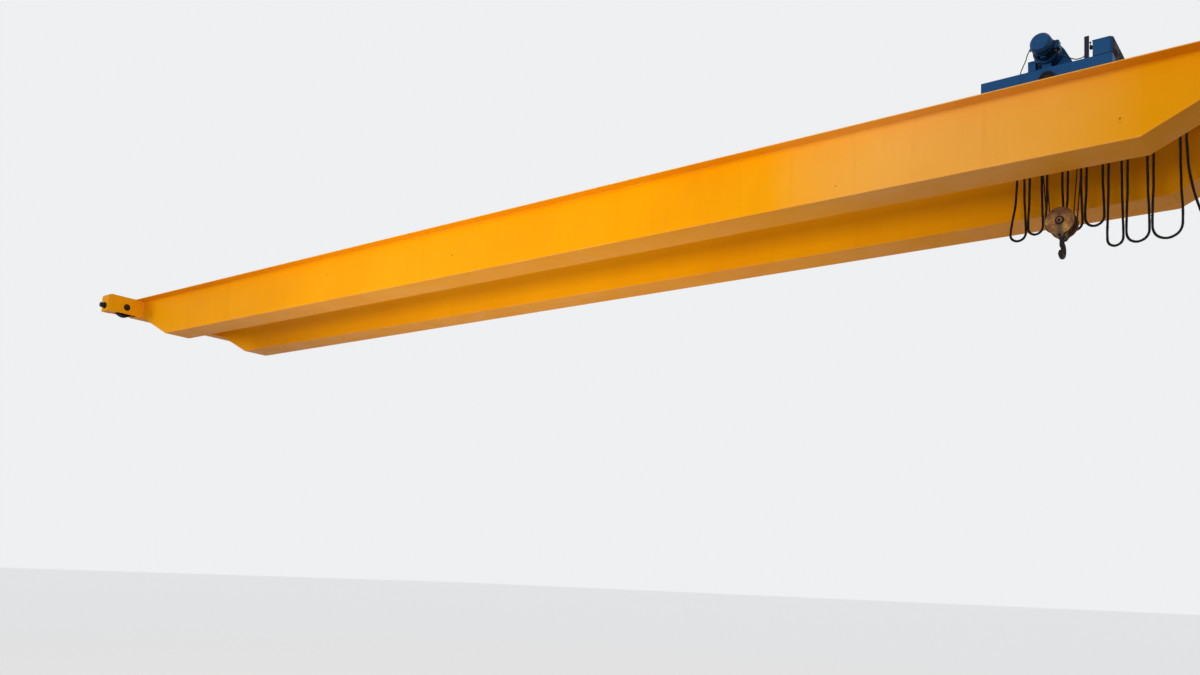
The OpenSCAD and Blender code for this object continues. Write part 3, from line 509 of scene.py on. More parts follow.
def tubeMesh(name, line, profile, across, layLength=0):
    # sweeps a profile along a line, turning it once in each lay length
    sides = len(profile)
    last = len(line) - 1
    vertices, faces, gone = [], [], 0
    for i, point in enumerate(line):
        along = (line[min(last, i + 1)] - line[max(0, i - 1)]).normalized()
        side = (across - along * along.dot(across)).normalized()
        other = along.cross(side)
        if i and layLength:
            gone += (point - line[i - 1]).length
            turn = 2 * math.pi * gone / layLength
            side, other = swung(side, other, turn), swung(other, -side, turn)
        vertices += [point + side * u + other * v for u, v in profile]
    for i in range(last):
        for k in range(sides):
            n = (k + 1) % sides
            faces.append((i * sides + k, i * sides + n, (i + 1) * sides + n, (i + 1) * sides + k))
    faces.append(tuple(reversed(range(sides))))
    faces.append(tuple(last * sides + k for k in range(sides)))
    mesh = plainMesh(name, vertices, [], faces)
    mesh.polygons.foreach_set("use_smooth", [len(p.vertices) == 4 for p in mesh.polygons])
    return mesh


# Geometry Nodes trees for what repeats or follows a line

class Grower(Nodes):
    # a tree with named inputs
    def __init__(self, name, **inputs):
        super().__init__(bpy.data.node_groups.new(name, "GeometryNodeTree"))
        sockets = self.tree.interface
        sockets.new_socket("Geometry", in_out="INPUT", socket_type="NodeSocketGeometry")
        self.keys = {}
        for label, value in inputs.items():
            kind = "NodeSocketInt" if isinstance(value, int) else "NodeSocketFloat"
            socket = sockets.new_socket(label, in_out="INPUT", socket_type=kind)
            socket.default_value = value
            self.keys[label] = socket.identifier
        socket = sockets.new_socket("finish", in_out="INPUT", socket_type="NodeSocketMaterial")
        self.keys["finish"] = socket.identifier
        sockets.new_socket("Geometry", in_out="OUTPUT", socket_type="NodeSocketGeometry")
        self.given = self.tree.nodes.new("NodeGroupInput")
        self.shape = self.given.outputs["Geometry"]

    def wire(self, value, socket):
        # a text that names an input of the tree stands for it
        if isinstance(value, str) and value in self.given.outputs:
            value = self.given.outputs[value]
        super().wire(value, socket)

    def lifted(self, shape, height):
        offset = self.add("ShaderNodeCombineXYZ", {"Z": height})
        return self.add("GeometryNodeTransform", {"Geometry": shape, "Translation": offset})

    def evenLine(self, step):
        line = self.add("GeometryNodeMeshToCurve", {"Mesh": self.shape})
        return self.add("GeometryNodeResampleCurve", {"Curve": line, "Length": step}, mode="LENGTH")

    def ring(self, sides):
        return self.add("GeometryNodeCurvePrimitiveCircle", {"Resolution": sides, "Radius": "radius"})

    def stored(self, name, kind):
        return self.add("GeometryNodeInputNamedAttribute", {"Name": name}, data_type=kind)

    def placed(self, points, shape, aim, scale=(1, 1, 1)):
        turn = self.add("FunctionNodeAlignRotationToVector", {"Vector": aim}, axis="Z")
        return self.close(self.add("GeometryNodeInstanceOnPoints", {
            "Points": points, "Instance": shape, "Rotation": turn, "Scale": scale}))

    def swept(self, line, ring, **more):
        tube = self.add("GeometryNodeCurveToMesh", {
            "Curve": line, "Profile Curve": ring, "Fill Caps": True, **more})
        return self.close(self.add("GeometryNodeSetShadeSmooth", {"Geometry": tube}))

    def close(self, shape):
        real = self.add("GeometryNodeRealizeInstances", {"Geometry": shape})
        painted = self.add("GeometryNodeSetMaterial", {"Geometry": real, "Material": "finish"})
        end = self.tree.nodes.new("NodeGroupOutput")
        self.wire(painted, end.inputs["Geometry"])
        return self

    def grow(self, name, base, finish, **values):
        # runs the tree on a base mesh, and gives back a plain mesh with no modifier
        holder = bpy.data.objects.new(name + "Base", base)
        scene.collection.objects.link(holder)
        modifier = holder.modifiers.new("grow", "NODES")
        modifier.node_group = self.tree
        for label, value in {"finish": finish, **values}.items():
            modifier[self.keys[label]] = value
        graph = bpy.context.evaluated_depsgraph_get()
        mesh = bpy.data.meshes.new_from_object(holder.evaluated_get(graph), depsgraph=graph)
        bpy.data.objects.remove(holder)
        bpy.data.meshes.remove(base)
        mesh.name = name
        return mesh


def boltTree():
    # a hexagon head with its washer and the end of its stud, on every point, along the point's aim
    g = Grower("hexBolts", acrossFlats=0.024, headHeight=0.011, washerSize=0.032, washerHeight=0.003)
    headTop = g.maths("ADD", "washerHeight", "headHeight")
    join = g.tree.nodes.new("GeometryNodeJoinGeometry")
    for sides, width, share, depth, low in (
        (12, "washerSize", 0.5, "washerHeight", 0.0),
        (6, "acrossFlats", 0.577, "headHeight", "washerHeight"),
        (8, "acrossFlats", 0.3, g.times("headHeight", 0.4), headTop),
    ):
        disc = g.add("GeometryNodeMeshCylinder", {
            "Vertices": sides, "Radius": g.times(width, share), "Depth": depth})
        g.wire(g.lifted(disc, g.maths("ADD", g.times(depth, 0.5), low)), join.inputs[0])
    return g.placed(g.shape, join.outputs[0], g.stored("aim", "FLOAT_VECTOR"), g.stored("size", "FLOAT"))


def beadTree():
    # a round bead along every line, a little uneven as a hand-laid weld is
    g = Grower("beads", radius=0.004, step=0.05, unevenness=0.35, sides=6)
    ripple = g.add("ShaderNodeTexNoise", {"Scale": 37.0, "Detail": 1.0})
    spread = g.times(g.maths("SUBTRACT", ripple, 0.5), g.times("unevenness", 2.0))
    return g.swept(g.evenLine("step"), g.ring("sides"), Scale=g.maths("ADD", spread, 1.0))


def stitchTree():
    # short weld nuggets at even steps along every line
    g = Grower("stitches", pitch=0.35, length=0.05, radius=0.006)
    nugget = g.add("GeometryNodeMeshUVSphere", {"Segments": 6, "Rings": 4, "Radius": "radius"})
    reach = g.maths("DIVIDE", "length", g.times("radius", 2.0))
    long = g.add("ShaderNodeCombineXYZ", {"X": 1.0, "Y": 1.0, "Z": reach})
    return g.placed(g.evenLine("pitch"), nugget, g.add("GeometryNodeInputTangent"), long)


def ropeTree():
    # stranded wire rope: a ring with one lobe for each strand, which turns as it goes along
    g = Grower("wireRope", radius=0.007, step=0.012, layLength=0.09, lobeDepth=0.11, strands=6)
    gone = g.add("GeometryNodeSplineParameter", output="Length")
    tilt = g.times(g.maths("DIVIDE", gone, "layLength"), 2 * math.pi)
    turning = g.add("GeometryNodeSetCurveTilt", {"Curve": g.evenLine("step"), "Tilt": tilt})
    place = g.add("GeometryNodeInputPosition")
    parts = g.add("ShaderNodeSeparateXYZ", {0: place}).node.outputs
    angle = g.maths("ARCTAN2", parts[1], parts[0])
    wave = g.times(g.maths("COSINE", g.times(angle, "strands")), "lobeDepth")
    offset = g.add("ShaderNodeVectorMath", {0: place, "Scale": wave}, operation="SCALE")
    ring = g.ring(g.times("strands", 3.0))
    return g.swept(turning, g.add("GeometryNodeSetPosition", {"Geometry": ring, "Offset": offset}))


def coilTree():
    # one layer of rope wound on a drum
    g = Grower("woundRope", drumRadius=0.155, pitch=0.020, turns=17.0, radius=0.007)
    spiral = g.add("GeometryNodeCurveSpiral", {
        "Resolution": 30, "Rotations": "turns", "Start Radius": "drumRadius", "End Radius": "drumRadius",
        "Height": g.times("turns", "pitch")})
    return g.swept(spiral, g.ring(7))


def louvreTree():
    # a half-round hood at every point, lying along the point's aim
    g = Grower("louvres", width=0.12, reach=0.006)
    hood = g.add("GeometryNodeMeshCylinder", {"Vertices": 8, "Radius": "reach", "Depth": "width"})
    return g.placed(g.shape, hood, g.stored("aim", "FLOAT_VECTOR"))


bolts = boltTree()
beads = beadTree()
stitches = stitchTree()
wireRope = ropeTree()
woundRope = coilTree()
louvres = louvreTree()
print("Geometry Nodes trees ready")


# from a mesh to a piece

def joined(name, meshes, sharp=35):
    form = bmesh.new()
    for mesh in meshes:
        form.from_mesh(mesh)
        bpy.data.meshes.remove(mesh)
    whole = bpy.data.meshes.new(name)
    form.to_mesh(whole)
    form.free()
    whole.polygons.foreach_set("material_index", [0] * len(whole.polygons))
    whole.shade_smooth()
    whole.set_sharp_from_angle(angle=math.radians(sharp))
    return whole


def addPiece(name, mesh, slot, body=None):
    # a piece in the finish of its slot, fixed to its body when it has one
    mesh.materials.clear()
    mesh.materials.append(finishes[slot])
    piece = bpy.data.objects.new(name, mesh)
    scene.collection.objects.link(piece)
    if body:
        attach(piece, body)
    return piece


def joinPiece(name, meshes, slot, body, sharp=35):
    addPiece(name, joined(name, meshes, sharp), slot, body)


def boltPiece(name, rows, slot, body):
    addPiece(name, bolts.grow(name, aimedPoints(rows), finishes[slot]), slot, body)


def wirePiece(name, lines, slot, body, **sizes):
    # round wire or a weld bead along each line
    addPiece(name, beads.grow(name, lineMesh(lines), finishes[slot], **sizes), slot, body)


# festoon cable: one loop between each two neighbouring carriers, and the last to the anchor

carrierBodies = ["tow_carriage"] + [f"carrier_{i}" for i in range(1, 9)]
festoon = {
    "trackY": 0.540, "trackBottom": 0.340, "clampDrop": 0.100, "legGap": 0.036,
    "straight": 0.120,  # the stretch that hangs straight out of each sleeve
    "diameter": 0.034, "cores": 3, "groove": 0.42, "layLength": 1.1,
    "tieStep": 0.42, "tieLength": 0.012, "tieProud": 0.0012, "anchorX": 22.215,
    "carrierBack": [2.790, 2.625, 2.395, 2.130, 1.895, 1.625, 1.395, 1.090, 0.710],
    "loopDrop": [1.175, 1.120, 1.130, 1.150, 1.130, 1.440, 1.430, 1.440, 1.300],
    "loopSwell": [(0.092, 0.022), (0.018, 0.014), (0.018, 0.016), (0.018, 0.018), (0.018, 0.016),
                  (0.018, 0.014), (0.018, 0.016), (0.018, 0.018), (-0.110, 0.020)],
    "knee": 0.25, "arcSteps": 4, "smoothness": 5, "legRoom": 0.004, "bendWidth": 0.067,
}


def loopLine(look, xa, xb, drop, swell):
    # the same route as the solid's: straight legs that swell outwards, and a half circle below
    middle = (xa - swell[0] + xb + swell[1]) / 2
    radius = (xb + swell[1] - xa + swell[0]) / 2
    low = look["trackBottom"] - drop
    top = look["trackBottom"] - look["clampDrop"]
    start = top - look["straight"]
    leg = start - low - radius
    left, right = (
        [(x, top), (x, start), (x + out * look["knee"], start - leg / 2), (middle + side, start - leg)]
        for x, out, side in ((xa, -swell[0], -radius), (xb, swell[1], radius)))
    turns = [math.pi * i / look["arcSteps"] for i in range(1, look["arcSteps"])]
    bottom = [(middle - radius * math.cos(t), low + radius - radius * math.sin(t)) for t in turns]
    return [Vector((x, look["trackY"], z)) for x, z in left + bottom + right[::-1]]


def bundleProfile(look):
    # the outline of round cables tied together, with a groove between each two
    ring = []
    count = look["cores"] * 8
    for k in range(count):
        turn = 2 * math.pi * k / count
        between = 1 - abs(math.cos(turn * look["cores"] / 2))
        reach = look["diameter"] / 2 * (1 - look["groove"] * between**2.2)
        ring.append((math.cos(turn) * reach, math.sin(turn) * reach))
    return ring


def addTies(mesh, line, look):
    # narrow straps that hold the bundle together, at even steps along it
    form = bmesh.new()
    form.from_mesh(mesh)
    gone, due = 0, look["tieStep"] / 2
    profile = roundProfile(look["diameter"] + 2 * look["tieProud"], 14)
    for a, b in zip(line, line[1:]):
        gone += (b - a).length
        if gone < due:
            continue
        due += look["tieStep"]
        half = (b - a).normalized() * look["tieLength"] / 2
        middle = (a + b) / 2
        strap = tubeMesh("strap", [middle - half, middle + half], profile, Vector((0, 1, 0)))
        form.from_mesh(strap)
        bpy.data.meshes.remove(strap)
    form.to_mesh(mesh)
    form.free()


def hangFestoon(look):
    places = [look["anchorX"] - back for back in look["carrierBack"]] + [look["anchorX"]]
    total = 0
    for i, (drop, swell) in enumerate(zip(look["loopDrop"], look["loopSwell"])):
        name = f"festoon_loop_{i + 1}"
        xa = places[i] + look["legGap"]
        xb = places[i + 1] - look["legGap"]
        line = smoothLine(loopLine(look, xa, xb, drop, swell), look["smoothness"])
        mesh = tubeMesh(name, line, bundleProfile(look), Vector((0, 1, 0)), look["layLength"])
        addTies(mesh, line, look)
        loop = addPiece(name, mesh, "cable_sheath")
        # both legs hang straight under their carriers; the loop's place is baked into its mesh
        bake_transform(loop)
        if i == 0:
            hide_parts("festoon_cable")
        total += lineLength(line)
    print("festoon cable:", round(total, 2), "m in", len(places) - 1, "loops")


hangFestoon(festoon)


# girders: weld seams, end plate bolts and rail stitches

girder = {
    "startX": 0.154, "endX": 22.346, "taper": 1.010, "lipUnder": 0.388, "belly": -0.460, "throat": 0.020,
    "outer": 1.350, "inner": 0.750, "beadOut": 0.001, "bellyIn": 0.003, "seamSunk": 0.004, "bellySunk": 0.006,
    "cornerBead": {"radius": 0.005, "step": 0.09, "unevenness": 0.5},
    "seamBead": {"radius": 0.006, "step": 0.02, "unevenness": 0.25},
    "seams": [(-1, "outer", 14.780), (-1, "inner", 7.900), (-1, "inner", 15.300), (1, "inner", 5.146),
              (1, "inner", 12.446), (1, "outer", 9.200), (1, "outer", 16.600)],
    "bellySeams": [7.40, 14.10],
    "railGauge": 1.050, "stitchOut": 0.027, "stitchZ": 0.401, "stitchX": (0.364, 22.136),
    "stitch": {"pitch": 0.42, "length": 0.07, "radius": 0.005},
    "endPlateReach": 0.320, "endPlateHeights": [0.055, 0.125, 0.195, 0.265, 0.335], "endPlateBolt": 0.85,
}


def weldGirders(look):
    x0, x1, taper = look["startX"], look["endX"], look["taper"]
    belly, throat, lip = look["belly"], look["throat"], look["lipUnder"]
    corners, seams, rails, rows = [], [], [], []
    for side in (-1, 1):
        for face, out in (("outer", 1), ("inner", -1)):
            y = side * (look[face] + look["beadOut"] * out)
            corners.append([(x0, y, lip), (x1, y, lip)])
            yLow = side * (look[face] - look["bellyIn"] * out)
            low = [(x0, throat), (x0 + taper, belly), (x1 - taper, belly), (x1, throat)]
            corners.append([(x, yLow, z) for x, z in low])
            corners += [[(x, y, throat), (x, y, lip)] for x in (x0 + look["beadOut"], x1 - look["beadOut"])]
    for side, face, x in look["seams"]:
        y = side * (look[face] + look["seamSunk"] * (-1 if face == "outer" else 1))
        seams.append([(x, y, belly), (x, y, lip)])
    for x in look["bellySeams"]:
        z = belly - look["bellySunk"]
        seams += [[(x, side * look["inner"], z), (x, side * look["outer"], z)] for side in (-1, 1)]
    paint = finishes["yellow_paint"]
    meshes = [beads.grow("corners", lineMesh(corners), paint, **look["cornerBead"]),
              beads.grow("seams", lineMesh(seams), paint, **look["seamBead"])]
    joinPiece("girder_welds", meshes, "yellow_paint", "bridge", sharp=80)

    for side in (-1, 1):
        for edge in (-1, 1):
            y = side * look["railGauge"] + edge * look["stitchOut"]
            rails.append([(x, y, look["stitchZ"]) for x in look["stitchX"]])
    mesh = stitches.grow("rail_stitches", lineMesh(rails), finishes["rail_steel"], **look["stitch"])
    addPiece("rail_stitches", mesh, "rail_steel", "bridge")

    for x, way in ((x0, 1), (x1, -1)):
        for side in (-1, 1):
            for edge in (-1, 1):
                y = side * look["railGauge"] + edge * look["endPlateReach"]
                rows += [((x, y, z), (way, 0, 0), look["endPlateBolt"]) for z in look["endPlateHeights"]]
    boltPiece("end_plate_bolts", rows, "yellow_paint", "bridge")
    print("girder welds, rail stitches and", len(rows), "end plate bolts")


weldGirders(girder)


# bolts of the cable track, and rubber pads on the rail stops

trackFixings = {
    "firstX": 0.714, "lastX": 22.176, "count": 14, "boltPlaces": [(0.540, 0.408), (0.690, 0.418)],
    "boltSize": 0.7, "stopX": (0.314, 22.186), "stopFace": 0.014, "stopHeight": 0.560, "gauge": 1.050,
    "pad": [(0, -0.001), (0.038, -0.001), (0.038, 0.006), (0.030, 0.008), (0.030, 0.036), (0.026, 0.042),
            (0.012, 0.045), (0, 0.045)],
}


def fixTrack(look):
    pitch = (look["lastX"] - look["firstX"]) / (look["count"] - 1)
    rows = [((look["firstX"] + i * pitch, y, z), (0, 0, 1), look["boltSize"])
            for i in range(look["count"]) for y, z in look["boltPlaces"]]
    boltPiece("track_bolts", rows, "track_steel", "bridge")
    pads = []
    for x, way in zip(look["stopX"], (1, -1)):
        for side in (-1, 1):
            place = (x + way * look["stopFace"], side * look["gauge"], look["stopHeight"])
            pads.append(turned(look["pad"], place, (way, 0, 0), 28))
    joinPiece("stop_pads", pads, "buffer_rubber", "bridge")
    print("track bolts and stop pads")


fixTrack(trackFixings)


# end trucks: caps over the axles, buffer bolts, drive grilles and screws

truck = {
    "places": (0.0, 22.5), "half": 0.140, "axleY": 1.750, "axleZ": 0.165, "driveY": 1.750, "driveEnd": 0.571,
    "cap": [(0, -0.001), (0.076, -0.001), (0.076, 0.010), (0.072, 0.013), (0.04712, 0.013), (0.04408, 0.022),
            (0.038, 0.026), (0.010, 0.027), (0, 0.027)],
    "capBolts": (0.0608, 6, 0.5), "capFace": 0.012, "driveFlange": 0.230, "driveBolts": (0.084, 6, 0.45, 0.5),
    "cowlRings": [0.016, 0.030, 0.044, 0.058], "cowlReach": 0.064,
    "cowlWire": {"radius": 0.0022, "step": 0.008, "unevenness": 0.0, "sides": 5},
    "bufferY": 2.210, "bufferZ": 0.130, "bufferBolts": (0.068, 4, 0.3, 0.5),
}


def dressTrucks(look):
    caps, rows, driveRows, wires, bufferRows = [], [], [], [], []
    for x in look["places"]:
        inward = 1 if x < 1 else -1
        for side in (-1, 1):
            for face in (-1, 1):
                if face == inward and side == 1:
                    continue  # the drive sits there
                capX, y, z = x + face * look["half"], side * look["axleY"], look["axleZ"]
                caps.append(turned(look["cap"], (capX, y, z), (face, 0, 0), 32))
                rows += ringRows((capX + face * look["capFace"], y, z), (face, 0, 0), *look["capBolts"])
            place = (x, side * look["bufferY"], look["bufferZ"])
            bufferRows += ringRows(place, (0, side, 0), *look["bufferBolts"])
        end = (x + inward * look["driveEnd"], look["driveY"], look["axleZ"])
        wires += cowlWires(end, (1, 0, 0), (0, 1, 0), look["cowlRings"], look["cowlReach"])
        flange = (x + inward * look["driveFlange"], look["driveY"], look["axleZ"])
        driveRows += ringRows(flange, (inward, 0, 0), *look["driveBolts"])
    joinPiece("axle_caps", caps, "wheel_iron", "bridge")
    boltPiece("axle_cap_bolts", rows, "wheel_iron", "bridge")
    boltPiece("buffer_bolts", bufferRows, "track_steel", "bridge")
    boltPiece("drive_bolts", driveRows, "track_steel", "bridge")
    wirePiece("drive_grilles", wires, "blue_paint", "bridge", **look["cowlWire"])
    print("truck caps and drive fittings")


dressTrucks(truck)


# trolley: drum bearing, axle caps, gear case, motor, drum rope and frame

trolley = {
    "outY": 1.145, "inY": 0.955, "drum": (20.282, 0.580), "motor": (20.253, 0.965),
    "caseFoot": (20.378, 0.662), "wheelX": (19.710, 20.790), "wheelZ": 0.5503, "driveX": 20.790,
    "driveEndY": 1.456,
    "seal": [(0.060, 0.010), (0.094, 0.010), (0.094, 0.022), (0.090, 0.026), (0.066, 0.026), (0.060, 0.020),
             (0.060, 0.010)],
    "cover": [(0, 0.008), (0.062, 0.008), (0.062, 0.018), (0.052, 0.020), (0.048, 0.029), (0.040, 0.032),
              (0.012, 0.032), (0, 0.032)],
    "coverBolts": (0.078, 8, 0.45, 0.5), "coverFace": 0.025,
    "cap": [(0, -0.001), (0.044, -0.001), (0.044, 0.006), (0.040, 0.009), (0.022, 0.009), (0.019, 0.014),
            (0, 0.015)],
    "capBolts": (0.033, 4, 0.36, 0.5), "capFace": 0.008,
    # bolts of the gear case: the ring round each end, and the turns at which they sit
    "bellFaceY": -1.105, "bellBolts": (0.140, 8, 0.55, 0.5), "caseBackY": -0.740, "caseBolt": 0.55,
    "topRing": 0.150, "topTurns": range(0, 181, 30), "footRing": 0.178,
    "footTurns": (-80, -50, -20, 10, 190, 220, 250),
    "cowlEndY": -1.375,
    "cowl": [(0, -0.001), (0.097, -0.001), (0.097, 0.003), (0.090, 0.006), (0.084, 0.006), (0.081, 0.003),
             (0.074, 0.003), (0.071, 0.006), (0.064, 0.006), (0.061, 0.003), (0.054, 0.003), (0.051, 0.006),
             (0.044, 0.006), (0.041, 0.003), (0.034, 0.003), (0.030, 0.006), (0.014, 0.007), (0.010, 0.011),
             (0, 0.012)],
    "lid": ((20.4265, -1.224, 0.917), (20.436, -1.134, 1.005)),
    "lidScrews": ((-1.216, -1.142), (0.925, 0.997)),
    # from the motor's middle: its foot, the lifting eye and the seat of the eye
    "foot": ((-0.030, -1.235, -0.140), (0.030, -1.165, -0.108)), "eyeY": -1.200, "eyeUp": 0.155,
    "eyeRadius": 0.018, "seatUp": 0.125,
    "eyeSeat": [(0, -0.010), (0.017, -0.010), (0.017, 0.006), (0.010, 0.012), (0, 0.012)],
    "eyeWire": {"radius": 0.006, "step": 0.005, "unevenness": 0.0, "sides": 8},
    "ropeFrom": 0.100, "rope": {"drumRadius": 0.155, "pitch": 0.020, "turns": 17.0},
    "driveRings": [0.014, 0.026, 0.038, 0.048], "driveReach": 0.050,
    "driveWire": {"radius": 0.002, "step": 0.007, "unevenness": 0.0, "sides": 5},
    "frameX": [(19.485, 0.001), (19.635, 0), (20.865, 0), (21.015, 0.001)], "frameZ": (0.538, 0.724),
    "feet": [(20.057, 20.145, -1.144, -1.025), (20.183, 20.323, -1.085, -0.956)], "footZ": 0.726,
    "frameWeld": {"radius": 0.004, "step": 0.012, "unevenness": 0.4},
}


def dressSides(look):
    dx, dz = look["drum"]
    out, z = look["outY"], look["wheelZ"]
    seal, cover = (turned(look[part], (dx, -out, dz), (0, -1, 0), 48) for part in ("seal", "cover"))
    joinPiece("bearing_seal", [seal], "buffer_rubber", "trolley")
    joinPiece("bearing_cover", [cover], "wheel_iron", "trolley")
    rows = ringRows((dx, -out - look["coverFace"], dz), (0, -1, 0), *look["coverBolts"])
    caps = []
    for x in look["wheelX"]:
        for side in (-1, 1):
            if side == 1 and x == look["driveX"]:
                continue  # the drive sits there
            caps.append(turned(look["cap"], (x, side * out, z), (0, side, 0), 28))
            rows += ringRows((x, side * (out + look["capFace"]), z), (0, side, 0), *look["capBolts"])
    joinPiece("trolley_axle_caps", caps, "wheel_iron", "trolley")
    boltPiece("bearing_bolts", rows, "wheel_iron", "trolley")


def dressHoist(look):
    dx, dz = look["drum"]
    mx, mz = look["motor"]
    y = look["caseBackY"]
    rows = ringRows((mx, look["bellFaceY"], mz), (0, -1, 0), *look["bellBolts"])
    for centre, turns, ring in ((look["motor"], look["topTurns"], look["topRing"]),
                                (look["caseFoot"], look["footTurns"], look["footRing"])):
        for a in map(math.radians, turns):
            place = (centre[0] + ring * math.cos(a), y, centre[1] + ring * math.sin(a))
            rows.append((place, (0, 1, 0), look["caseBolt"]))
    boltPiece("gear_case_bolts", rows, "blue_paint", "trolley")

    # pressed end of the fan cowl, lid of the terminal box, seat of the lifting eye, and the motor's foot
    foot = [(mx + x, y, mz + z) for x, y, z in look["foot"]]
    parts = [turned(look["cowl"], (mx, look["cowlEndY"], mz), (0, -1, 0), 56), softBox(*look["lid"], 0.003),
             turned(look["eyeSeat"], (mx, look["eyeY"], mz + look["seatUp"]), (0, 0, 1), 20),
             softBox(*foot, 0.004)]
    joinPiece("motor_fittings", parts, "blue_paint", "trolley")
    eye = circleLine((mx, look["eyeY"], mz + look["eyeUp"]), (0, 1, 0), look["eyeRadius"], 20)
    wirePiece("lifting_eye", [eye], "blue_paint", "trolley", **look["eyeWire"])
    acrossY, upZ = look["lidScrews"]
    rows = [((look["lid"][1][0], y, z), (1, 0, 0), 0.3) for y in acrossY for z in upZ]
    boltPiece("terminal_box_screws", rows, "track_steel", "trolley")

    # rope wound on the drum, one layer from each end towards the middle
    layers = []
    for side in (-1, 1):
        base = lineMesh([[(0, 0, 0), (0, 0, 1)]])
        mesh = woundRope.grow("layer", base, finishes["rope_steel"], **look["rope"])
        turn = Matrix.Rotation(math.radians(-90 * side), 4, "X")
        mesh.transform(Matrix.Translation((dx, side * look["ropeFrom"], dz)) @ turn)
        layers.append(mesh)
    joinPiece("drum_rope", layers, "rope_steel", "trolley", sharp=60)


def dressFrame(look):
    end = (look["driveX"], look["driveEndY"], look["wheelZ"])
    wires = cowlWires(end, (0, 1, 0), (1, 0, 0), look["driveRings"], look["driveReach"])
    wirePiece("trolley_drive_grille", wires, "blue_paint", "trolley", **look["driveWire"])
    # weld beads where the cross beams, the bracket and the pedestal meet the side frames
    lines = []
    for x, inset in look["frameX"]:
        for side in (-1, 1):
            lines.append([(x, side * (look["inY"] - inset), z) for z in look["frameZ"]])
    for low, high, y0, y1 in look["feet"]:
        corners = [(low, y0), (high, y0), (high, y1), (low, y1), (low, y0)]
        lines.append([(x, y, look["footZ"]) for x, y in corners])
    wirePiece("frame_welds", lines, "blue_paint", "trolley", **look["frameWeld"])


dressSides(trolley)
dressHoist(trolley)
dressFrame(trolley)
print("trolley fittings")


# cabinet doors with vents and handles, and the switch on the post

cabinet = {
    "sideX": 21.015, "doors": [(-1.105, -0.785), (-0.775, -0.455)], "low": 0.737, "high": 0.907,
    "proud": 0.004, "ventHeights": [0.762, 0.780, 0.798, 0.816], "ventWidth": 0.11,
    "handleZ": 0.845, "handleIn": 0.045,
    "handle": [(0.004, -0.030), (0.024, -0.026), (0.026, 0), (0.024, 0.026), (0.004, 0.030)],
    "hingeIn": 0.006, "hingeOut": 0.007, "hingeHalf": 0.018, "hingeHeights": (0.765, 0.880),
    "handleWire": {"radius": 0.005, "step": 0.006, "unevenness": 0.0, "sides": 8},
    "gasket": ((-0.216, -1.1485, 0.7235), (0.0035, -0.4420, 0.7335)),
    # limit switch: its case, roller, arm and conduit, from the middle of the case
    "switch": (20.756, -1.088, 0.872), "case": ((-0.002, -0.018, -0.024), (0.026, 0.018, 0.022)),
    "rollerAt": (0.012, -0.032, 0.044), "roller": [(0, -0.006), (0.011, -0.006), (0.011, 0.006), (0, 0.006)],
    "arm": [(0.012, -0.016, 0.012), (0.012, -0.028, 0.020), (0.012, -0.028, 0.044)],
    "conduit": [(0.024, 0, -0.012), (0.034, 0, -0.014), (0.043, 0, -0.014)],
    "switchWire": {"radius": 0.004, "step": 0.005, "unevenness": 0.0, "sides": 8},
}


def dressCabinet(look):
    x = look["sideX"]
    doors, vents, wires, hinges = [], [], [], []
    for low, high in look["doors"]:
        outer = low < -1  # the door nearer to the side frame's end, hinged on its other edge
        doors.append(softBox((x - 0.002, low, look["low"]), (x + look["proud"], high, look["high"]), 0.0015))
        middle = (low + high) / 2
        vents += [((x + look["proud"] - 0.001, middle, z), (0, 1, 0), 1.0) for z in look["ventHeights"]]
        edge = high - look["handleIn"] if outer else low + look["handleIn"]
        wires.append([(x + out, edge, look["handleZ"] + up) for out, up in look["handle"]])
        pin = low + look["hingeIn"] if outer else high - look["hingeIn"]
        for z in look["hingeHeights"]:
            hinges.append([(x + look["hingeOut"], pin, z + way * look["hingeHalf"]) for way in (-1, 1)])
    joinPiece("cabinet_doors", doors, "post_paint", "trolley")
    mesh = louvres.grow("cabinet_vents", aimedPoints(vents), finishes["post_paint"], width=look["ventWidth"])
    addPiece("cabinet_vents", mesh, "post_paint", "trolley")
    wirePiece("cabinet_handles", wires + hinges, "wheel_iron", "trolley", **look["handleWire"])
    gasket = softBox(*(Vector((x, 0, 0)) + Vector(corner) for corner in look["gasket"]), 0.002)
    joinPiece("cabinet_gasket", [gasket], "post_paint", "trolley")

    middle = Vector(look["switch"])
    case = softBox(*(middle + Vector(corner) for corner in look["case"]), 0.004)
    roller = turned(look["roller"], middle + Vector(look["rollerAt"]), (0, 1, 0), 20)
    joinPiece("limit_switch", [case, roller], "wheel_iron", "trolley")
    lines = [[middle + Vector(point) for point in look[part]] for part in ("arm", "conduit")]
    wirePiece("switch_arm", lines, "post_paint", "trolley", **look["switchWire"])
    print("cabinet and switch fittings")


dressCabinet(cabinet)


# hook block: caps over the axle, nuts on the tie bolts and bolts of the guards

block = {
    "x": 20.175, "z": -0.865, "guardOut": 0.128, "tieZ": -1.059, "tieOut": 0.136, "tieBolt": 1.1,
    "cap": [(0, -0.001), (0.055, -0.001), (0.055, 0.014), (0.051, 0.018), (0.040, 0.018), (0.036, 0.013),
            (0.024, 0.013), (0.021, 0.021), (0.008, 0.024), (0, 0.024)],
    "capFace": 0.017, "capBolts": (0.0455, 6, 0.3), "guardBolts": (0.150, 6, 0.42, 0.25),
}


